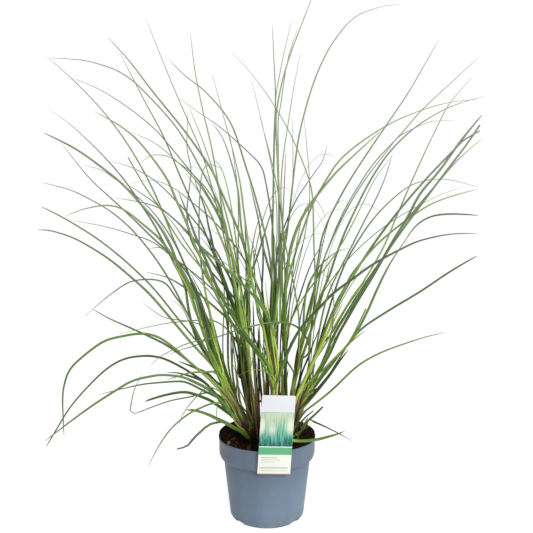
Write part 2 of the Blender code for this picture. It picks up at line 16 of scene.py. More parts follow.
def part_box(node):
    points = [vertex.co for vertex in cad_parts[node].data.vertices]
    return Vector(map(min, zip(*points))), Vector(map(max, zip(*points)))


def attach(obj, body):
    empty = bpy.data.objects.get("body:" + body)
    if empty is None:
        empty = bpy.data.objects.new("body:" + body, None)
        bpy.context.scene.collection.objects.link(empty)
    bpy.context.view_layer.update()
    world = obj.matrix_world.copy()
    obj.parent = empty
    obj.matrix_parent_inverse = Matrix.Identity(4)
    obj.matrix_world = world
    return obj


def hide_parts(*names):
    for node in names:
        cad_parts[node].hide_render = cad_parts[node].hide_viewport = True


bl_info = {
    "name": "Potted Pampas Grass",
    "version": (1, 0, 0),
    "blender": (4, 5, 0),
    "location": "View3D > Sidebar > Pampas Grass",
    "description": "Models a young clump of pampas grass in its nursery pot, with soft studio light",
    "category": "Add Mesh",
}

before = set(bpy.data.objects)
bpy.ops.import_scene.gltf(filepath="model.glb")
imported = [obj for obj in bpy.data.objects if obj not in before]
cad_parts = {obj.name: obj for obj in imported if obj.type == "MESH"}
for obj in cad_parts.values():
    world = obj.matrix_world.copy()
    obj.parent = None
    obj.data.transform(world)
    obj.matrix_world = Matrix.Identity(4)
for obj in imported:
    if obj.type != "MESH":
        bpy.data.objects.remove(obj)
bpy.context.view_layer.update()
POT_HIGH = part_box("pot")[1]

MM = 0.001

# The pot: rim, collar, tapered wall and rounded base.
POT_HEIGHT = POT_HIGH.z
RIM_RADIUS = POT_HIGH.x
COLLAR_RADIUS = RIM_RADIUS - 0.8 * MM
COLLAR_FOOT_HEIGHT = 114.0 * MM
COLLAR_FOOT_RADIUS = 86.4 * MM
BASE_RADIUS = 73.1 * MM
BASE_CORNER = 9.4 * MM
INNER_CORNER = 14.0 * MM
WALL = 1.8 * MM
LIP_HEIGHT = 3.0 * MM
# The lip's rounded edges: inside, outside and under it.
LIP_ROUNDS = (0.6 * MM, 0.8 * MM, 0.5 * MM)
FLOOR_THICKNESS = 3.0 * MM
# The collar's foot curves in over this height, to a ledge this wide, and the wall starts undercut.
COLLAR_FOOT_RISE = 17 * MM
LEDGE = 0.7 * MM
UNDERCUT = 0.9 * MM
UNDERCUT_DROP = 4 * MM

# Drain slots, cut in four groups through a recess in the base corner.
DRAIN_ANGLES = (42, 138, 222, 318)
DRAIN_GROUP_WIDTH = 22 * MM
DRAIN_RECESS = 2.4 * MM
SLOTS_PER_GROUP = 4
SLOT_WIDTH = 3.4 * MM

# The soil: heaped over the rim at the sides and the back, a little under it in front.
SOIL_FLOOR = 22 * MM
SOIL_CROWN = POT_HEIGHT + 11 * MM
SOIL_RISE_TO_BACK = 0.11
SOIL_SIDE_EDGE = POT_HEIGHT + 8 * MM
SOIL_FRONT_EDGE = POT_HEIGHT - 3 * MM
SOIL_SIDE_RADIUS = 96.6 * MM
SOIL_FRONT_RADIUS = 91.2 * MM
SOIL_ROUGHNESS = 2.4 * MM
SOIL_OVER_RIM = POT_HEIGHT + 0.6 * MM

# The plant label: a card that leans forward from the collar, with a tongue over the rim.
LABEL_WIDTH = 60.8 * MM
LABEL_HEIGHT = 153 * MM
LABEL_THICKNESS = 0.8 * MM
LABEL_CORNER = 2 * MM
LABEL_EDGE = 0.12 * MM
LABEL_ACROSS = Vector((60.7, 6.0, -2.8)).normalized()
LABEL_UP = Vector((11.3, -24.5, 150.4)).normalized()
LABEL_MIDDLE = Vector((16.91, -104.62, 187.38)) * MM
TONGUE_WIDTH = 16 * MM
# The tongue's side view, in millimetres up the card and out from it.
TONGUE_SIDE = ((-16, 0), (-24, -1.2), (-30, -4.0), (-33, -7.0), (-35.5, -8.8), (-40, -9.2), (-58, -9.2))

# Leaves and shoots are laid out as they are seen from a point in front of the pot: x and z in
# millimetres on the upright plane through the pot's axis, and y for how far in front of that
# plane (-) or behind it (+) they really are.
VIEW_DISTANCE = 1100
VIEW_HEIGHT = 503
# A blade leaves the depth of its shoot slowly: with its share of the way to this power.
DEPTH_BEND = 1.2
# A shoot of size 1, in millimetres: its core, the sheaths round it, a leaf's rolled foot, and how
# far out each further leaf lies. Then a sheath's length, and the steps along sheaths and blades.
CORE_RADIUS = 2.9
SHEATH_RADIUS = 3.3
FOOT_ROLL = 2.7
LEAF_LAYER = 0.55
SHEATH_LENGTH = 95
SHEATH_STEP = 12
ROW_LENGTH = 11
# A blade whose route starts further than this beside its shoot is led down to it.
LED_DOWN_GAP = 8

# The compost's open top is modelled in this many rings.
TOP_RINGS = 26
# The light bark chips that catch the eye: x and y in millimetres, the length, and the colour.
LIGHT_CHIPS = ((-73, -48, 13, "8a6243"), (-66, -34, 8, "70492f"), (-34, -66, 18, "56301f"),
               (-12, -60, 14, "4a3323"), (48, -48, 8, "6a4c33"), (56, -36, 10, "5a3d28"))

# Heights on the label, as shares of the card, and the plain rules on its panel: their height, left
# and right ends, and ink.
PICTURE_LOW = 0.36
PICTURE_HIGH = 0.78
BAND_LOW = 0.252
BAND_HIGH = 0.345
PANEL_RULES = ((0.215, 0.08, 0.56, "a9bcae"), (0.188, 0.08, 0.66, "c3cfc0"), (0.160, 0.08, 0.50, "c3cfc0"),
               (0.085, 0.06, 0.92, "93b29f"), (0.050, 0.06, 0.92, "c3cfc0"))

COLOUR_LAYER = "own_colour"
# Each kind of piece draws its random numbers from its own seed, and its number from there on.
LITTER_SEED = 11
MAIN_SEED = 40
BACK_SEED = 77
FINE_SEED = 140
SHOOT_SEED = 300
HEART_SEED = 500
# How the main blades end, where they aren't drawn out like most: broad up to the tip, broad for
# long, slim from low down, or turned edge-on on the way and broad again. Then the fine blades that
# were cut short, and the shoots that blades are added to at the back.
MAIN_ENDINGS = {"broad": (1, 2, 5, 24, 28, 30, 32, 35), "slim": (4, 16, 20), "turned": (43,),
                "long": (3, 9, 17, 18, 22, 23, 25, 26, 29, 31, 37, 44)}
CUT_BLADES = (8, 21, 31, 32, 47, 48, 51, 56, 57)
BACK_SHOOTS = (3, 5, 8, 10, 12)
OUTER_SHOOT = 11
# How much of its table's half width a blade shows, before it tapers.
MAIN_WIDTH = 0.52
WIDER_FINE = 0.60
FINE_WIDTH = 0.95
SOLID_SHOOTS = 12
# The short blades in the shoots' hearts end below this height. Those added at the back reach out
# and up by lengths between these, in millimetres.
HEART_TOP = 385
BACK_REACH = (150, 330)
BACK_HEIGHT = (230, 480)

# The floor, in metres, and the share of its glow that reaches the plant.
FLOOR_RADIUS = 2.5
FLOOR_GAP = 0.2 * MM
FLOOR_UPLIGHT = 0.85
# The lamps: where each stands and how wide it is, in metres, and the setting with its power.
LAMPS = (("key_light", (1.35, -2.1, 1.5), 1.3, "key_power"),
         ("fill_light", (-2.3, -0.8, 1.2), 1.6, "fill_power"),
         ("top_light", (0, 0.6, 2.8), 2.6, "top_power"))
LAMP_TARGET = (0, 0, 0.45)
# The camera's sensor, in millimetres, and the photograph's side, the pot's axis in it from the left
# and the camera's level from the top, in pixels.
SENSOR_WIDTH = 36
PHOTO_SIDE = 533
PHOTO_AXIS = 267
PHOTO_LEVEL = 261

# Each shoot: its size (at 1 its solid is 12 mm wide), y at its foot and its top, and its route
# upwards. The shoots after the twelfth are slender, and stand among the twelve with solids.
SHOOTS = (
    (1.15, -30, -40, ((-36, 150), (-50, 171), (-66, 205), (-82, 236), (-91, 266))),
    (1.00, 6, 4, ((-25, 160), (-40, 187), (-56, 212), (-70, 240))),
    (1.30, 26, 36, ((-30, 170), (-36, 226), (-42, 265), (-46, 320), (-51, 352))),
    (1.10, -4, -12, ((-19, 162), (-25, 226), (-33, 265), (-38, 325))),
    (1.00, 16, 20, ((-3, 170), (0, 245), (4, 325))),
    (1.00, -22, -30, ((15, 160), (13, 245), (14, 325), (16, 386))),
    (1.20, 8, 10, ((42, 170), (52, 255), (62, 310), (68, 340))),
    (0.85, 46, 54, ((28, 182), (36, 245), (36, 325))),
    (1.30, 4, 0, ((57, 166), (61, 187), (69, 215), (80, 237), (90, 257))),
    (1.00, 36, 46, ((52, 178), (66, 225), (86, 285), (96, 312))),
    (0.55, -20, -26, ((60, 152), (70, 168), (82, 190))),
    (0.90, 60, 84, ((0, 184), (-6, 260), (-14, 330))),
    (0.46, 0, 6, ((-34, 160), (-40, 195), (-42, 235), (-48, 285), (-54, 335))),
    (0.42, 18, 24, ((-26, 165), (-28, 195), (-34, 245), (-40, 295), (-44, 345))),
    (0.50, -26, -32, ((-20, 160), (-24, 195), (-28, 235), (-34, 295), (-42, 335))),
    (0.40, 34, 44, ((-14, 175), (-18, 225), (-22, 285), (-26, 345))),
    (0.45, -8, -14, ((6, 165), (2, 235), (-2, 285), (-8, 355))),
    (0.50, 2, -4, ((24, 165), (24, 225), (26, 305), (28, 375))),
    (0.42, 26, 32, ((42, 175), (40, 225), (36, 285), (34, 345))),
    (0.52, -14, -22, ((50, 165), (52, 225), (60, 280), (70, 335))),
    (0.50, -16, -22, ((-38, 162), (-60, 225), (-70, 285), (-72, 335), (-71, 385))),
    (0.42, -6, -10, ((-36, 162), (-54, 225), (-62, 285), (-68, 335), (-72, 365))),
    (0.50, 10, 14, ((-14, 165), (-16, 225), (-17, 285), (-19, 345))),
    (0.42, -14, -18, ((-10, 160), (-20, 225), (-26, 285), (-30, 345), (-32, 385))),
    (0.40, -4, -6, ((20, 162), (28, 225), (30, 285), (31, 345))),
    (0.45, 0, 4, ((0, 165), (4, 225), (2, 285), (4, 345), (6, 385))),
    (0.52, 14, 20, ((44, 168), (62, 245), (70, 300), (76, 335))),
    (0.40, -22, -26, ((-26, 158), (-30, 225), (-36, 285), (-40, 325))),
    (0.46, 6, 10, ((12, 166), (9, 225), (8, 285), (9, 345))),
    (0.85, -26, -34, ((-41, 165), (-49, 185), (-58, 205), (-69, 225), (-75, 235), (-83, 253))),
    (0.70, -18, -24, ((-36, 165), (-45, 185), (-52, 201), (-59, 215), (-65, 227))),
    (0.95, -8, -14, ((49, 160), (53, 190), (60, 228), (69, 252), (82, 280), (92, 300))),
    (0.30, -58, -60, ((46, 146), (50, 150), (54, 154))),
    (0.62, -28, -30, ((9, 165), (9, 225), (9, 260), (10, 300), (11, 330))),
    (0.55, -24, -26, ((17, 165), (18, 225), (19, 260), (19, 290), (20, 320))),
)

# Each main blade: its shoot, its half width at the widest, y at its tip, how many degrees its face
# has turned up by there, its tone from deep green (0) to yellow-green (1), and its route from the
# foot to the tip.
MAIN_BLADES = (
    (1, 6.2, -60, 42, 0.34, ((-91, 262), (-108, 291), (-150, 337), (-194, 389), (-234, 435), (-270, 468),
        (-311, 502), (-352, 529), (-392, 550), (-434, 563), (-458, 565))),
    (1, 4.2, 60, 30, 0.40, ((-88, 262), (-110, 301), (-134, 335), (-174, 383), (-224, 445), (-270, 491),
        (-315, 529), (-354, 557), (-407, 589), (-452, 612))),
    (1, 4.6, -130, 36, 0.34, ((-84, 250), (-125, 330), (-158, 395), (-198, 469), (-233, 521), (-272, 567),
        (-313, 602), (-352, 625), (-394, 645), (-450, 660))),
    (2, 7.8, 110, 30, 0.26, ((-66, 230), (-90, 261), (-108, 295), (-136, 339), (-151, 379), (-159, 421),
        (-165, 457), (-181, 489), (-201, 529), (-220, 565), (-234, 589), (-284, 663), (-333, 719),
        (-392, 775), (-436, 806))),
    (1, 5.4, -190, 40, 0.32, ((-86, 262), (-100, 295), (-122, 343), (-137, 387), (-148, 425), (-159, 457),
        (-180, 495), (-188, 521), (-217, 575), (-254, 618), (-290, 657), (-327, 687), (-382, 726),
        (-446, 759))),
    (2, 5.4, 50, 35, 0.30, ((-62, 222), (-92, 300), (-126, 400), (-162, 489), (-188, 549), (-215, 616),
        (-245, 679), (-286, 747), (-333, 808), (-388, 865), (-440, 911))),
    (3, 4.8, -150, 38, 0.26, ((-50, 345), (-62, 460), (-80, 561), (-96, 614), (-127, 677), (-180, 768),
        (-252, 848), (-293, 880), (-334, 896), (-372, 905), (-436, 909))),
    (3, 4.4, 200, 34, 0.30, ((-48, 330), (-58, 390), (-67, 445), (-77, 525), (-84, 565), (-98, 599),
        (-120, 637), (-134, 659), (-154, 683), (-188, 725), (-225, 767), (-274, 807), (-333, 845),
        (-391, 870))),
    (4, 6.4, -70, 45, 0.58, ((-37, 318), (-36, 425), (-38, 485), (-44, 525), (-57, 563), (-75, 605),
        (-93, 645), (-112, 687), (-156, 751), (-194, 799), (-233, 847), (-274, 901), (-318, 950))),
    (6, 7.6, -260, 40, 0.36, ((10, 262), (-14, 309), (-38, 343), (-56, 359), (-72, 381), (-95, 423),
        (-114, 463), (-128, 499), (-146, 537), (-162, 581), (-182, 625), (-204, 673), (-254, 739),
        (-294, 773), (-345, 802))),
    (2, 5.6, 270, 32, 0.34, ((-60, 216), (-76, 285), (-78, 335), (-78, 421), (-85, 463), (-98, 497),
        (-112, 529), (-124, 561), (-143, 604), (-174, 673), (-207, 752), (-244, 821), (-268, 868),
        (-294, 918))),
    (3, 3.6, 110, 36, 0.34, ((-46, 318), (-60, 420), (-88, 560), (-124, 699), (-150, 765), (-178, 829),
        (-211, 909), (-242, 988))),
    (5, 5, -340, 40, 0.20, ((3, 300), (10, 420), (10, 465), (6, 508), (-1, 545), (-21, 623), (-41, 687),
        (-74, 781), (-127, 845), (-158, 868), (-196, 905))),
    (3, 4.4, -170, 32, 0.34, ((-49, 340), (-58, 400), (-72, 490), (-88, 592), (-98, 659), (-112, 735),
        (-129, 807), (-144, 883), (-153, 958))),
    (6, 4.8, 390, 30, 0.28, ((15, 370), (14, 500), (10, 581), (-4, 667), (-14, 695), (-35, 718),
        (-92, 769), (-135, 799), (-177, 829))),
    (7, 4.4, -320, 40, 0.28, ((66, 315), (84, 385), (96, 459), (94, 531), (92, 611), (88, 651), (69, 707),
        (40, 770), (6, 827), (-33, 880), (-70, 919))),
    (5, 4, -40, 34, 0.36, ((4, 318), (7, 420), (11, 499), (10, 541), (12, 623), (14, 749), (17, 831),
        (13, 923), (11, 976))),
    (6, 5, -40, 40, 0.42, ((16, 380), (22, 440), (24, 499), (24, 625), (21, 705), (18, 785), (26, 841),
        (43, 905), (67, 970), (94, 1040))),
    (8, 4, 200, 32, 0.38, ((36, 300), (31, 430), (25, 600), (22, 769), (26, 805), (34, 862), (44, 915),
        (63, 972))),
    (7, 4.2, -380, 38, 0.48, ((64, 300), (64, 385), (53, 459), (38, 531), (30, 591), (28, 645), (32, 707),
        (42, 776), (52, 841), (66, 917))),
    (8, 5.2, 60, 36, 0.40, ((37, 318), (32, 410), (30, 489), (36, 531), (44, 591), (60, 729), (76, 803),
        (98, 872), (126, 931), (156, 971), (182, 995), (236, 1013), (266, 1016))),
    (2, 4.8, 90, 30, 0.14, ((-67, 238), (-104, 360), (-124, 447), (-134, 521), (-136, 585), (-133, 653),
        (-128, 684), (-114, 697), (-88, 685))),
    (1, 6.6, -80, 34, 0.30, ((-84, 240), (-114, 267), (-154, 299), (-184, 327), (-220, 351), (-254, 357),
        (-294, 351), (-328, 341), (-368, 312), (-394, 286), (-405, 258), (-409, 225), (-406, 153))),
    (2, 5.6, 130, 30, 0.24, ((-70, 191), (-82, 205), (-102, 234), (-121, 258), (-144, 274), (-168, 289),
        (-193, 302), (-214, 310), (-244, 313), (-284, 307), (-320, 287), (-360, 249), (-394, 209),
        (-420, 167), (-442, 131))),
    (1, 7, -200, 34, 0.22, ((-72, 199), (-85, 216), (-107, 236), (-126, 251), (-151, 263), (-166, 269),
        (-180, 272), (-204, 274), (-224, 273), (-268, 263), (-300, 245), (-344, 217), (-386, 187),
        (-444, 143))),
    (1, 6.4, 240, 36, 0.58, ((-74, 227), (-97, 248), (-118, 270), (-136, 285), (-154, 301), (-198, 333),
        (-238, 353), (-278, 371), (-318, 389), (-349, 407))),
    (1, 4.6, -340, 38, 0.30, ((-86, 265), (-104, 295), (-134, 345), (-152, 383), (-165, 407), (-186, 435),
        (-198, 453), (-211, 462), (-238, 466), (-276, 460), (-314, 435), (-348, 407), (-364, 393))),
    (1, 7.8, 170, 34, 0.24, ((-74, 197), (-94, 211), (-112, 223), (-131, 231), (-148, 237), (-163, 240),
        (-180, 239), (-205, 234), (-229, 227), (-244, 222))),
    (1, 4.8, -160, 32, 0.30, ((-70, 211), (-82, 218), (-98, 219), (-112, 217), (-124, 213), (-134, 208),
        (-148, 202), (-170, 187), (-192, 167), (-207, 147), (-220, 126), (-238, 91))),
    (1, 9.6, -120, 36, 0.14, ((-56, 164), (-70, 171), (-82, 178), (-102, 187), (-117, 194), (-131, 199),
        (-146, 203), (-161, 205))),
    (6, 7.6, -150, 40, 0.08, ((22, 262), (40, 315), (66, 365), (102, 405), (132, 437), (170, 465),
        (202, 489), (232, 507), (266, 525), (306, 543), (366, 556), (422, 558))),
    (9, 5, -210, 36, 0.32, ((84, 243), (112, 276), (136, 305), (162, 335), (192, 369), (246, 405),
        (306, 441), (366, 481), (420, 513))),
    (9, 5.8, 250, 34, 0.42, ((64, 196), (82, 208), (128, 244), (176, 289), (214, 313), (254, 330),
        (314, 350), (355, 360))),
    (9, 7.5, -50, 38, 0.10, ((91, 256), (106, 289), (114, 305), (127, 339), (142, 369), (158, 395),
        (186, 441), (216, 485), (246, 529), (276, 579), (350, 669), (386, 709), (430, 748))),
    (9, 6.6, 110, 32, 0.08, ((94, 263), (112, 293), (128, 323), (142, 355), (158, 383), (174, 411),
        (186, 431), (216, 480), (250, 540), (280, 589), (306, 637), (346, 685), (386, 741), (430, 795))),
    (7, 6, 40, 36, 0.30, ((67, 330), (84, 375), (106, 430), (126, 477), (132, 497), (142, 525),
        (155, 559), (180, 613), (206, 663), (236, 709), (266, 743), (306, 777), (366, 811), (432, 832))),
    (8, 5.8, 170, 32, 0.40, ((36, 310), (30, 360), (31, 405), (36, 437), (46, 481), (58, 523), (67, 552),
        (92, 618), (126, 677), (146, 705), (186, 739), (246, 777), (306, 803), (366, 820), (420, 826))),
    (10, 4.8, 195, 34, 0.50, ((92, 300), (108, 323), (118, 339), (128, 359), (140, 381), (156, 407),
        (176, 439), (186, 451), (212, 493), (236, 537), (256, 585), (286, 655), (316, 721), (342, 775),
        (366, 819), (412, 872))),
    (7, 4.8, -130, 34, 0.34, ((68, 336), (80, 390), (91, 429), (97, 465), (100, 491), (104, 515),
        (108, 541), (116, 567), (126, 591), (152, 641), (180, 687), (216, 741), (246, 785), (286, 845),
        (326, 915), (344, 946))),
    (9, 4.2, -150, 36, 0.38, ((88, 250), (84, 330), (96, 415), (104, 463), (112, 499), (122, 527),
        (142, 577), (162, 617), (186, 657), (216, 701), (270, 759), (306, 801), (346, 839), (424, 911))),
    (9, 4.6, -300, 38, 0.32, ((90, 254), (96, 310), (110, 390), (126, 445), (166, 525), (194, 581),
        (216, 623), (236, 669), (251, 718))),
    (10, 5.2, 250, 32, 0.40, ((95, 308), (116, 380), (136, 445), (156, 497), (182, 543), (216, 591),
        (256, 631), (290, 655), (326, 665), (366, 665), (424, 650))),
    (9, 5.6, -340, 38, 0.34, ((86, 246), (130, 300), (170, 345), (198, 395), (222, 449), (246, 497),
        (276, 543), (298, 573), (328, 591), (366, 596), (422, 594))),
    (33, 8.4, -84, 34, 0.26, ((56, 142), (74, 142), (99, 145), (123, 151), (143, 157), (156, 163))),
    (12, 5.2, 410, 30, 0.30, ((-13, 320), (-60, 420), (-110, 480), (-150, 540), (-160, 601), (-152, 683),
        (-160, 729), (-158, 803))),
)

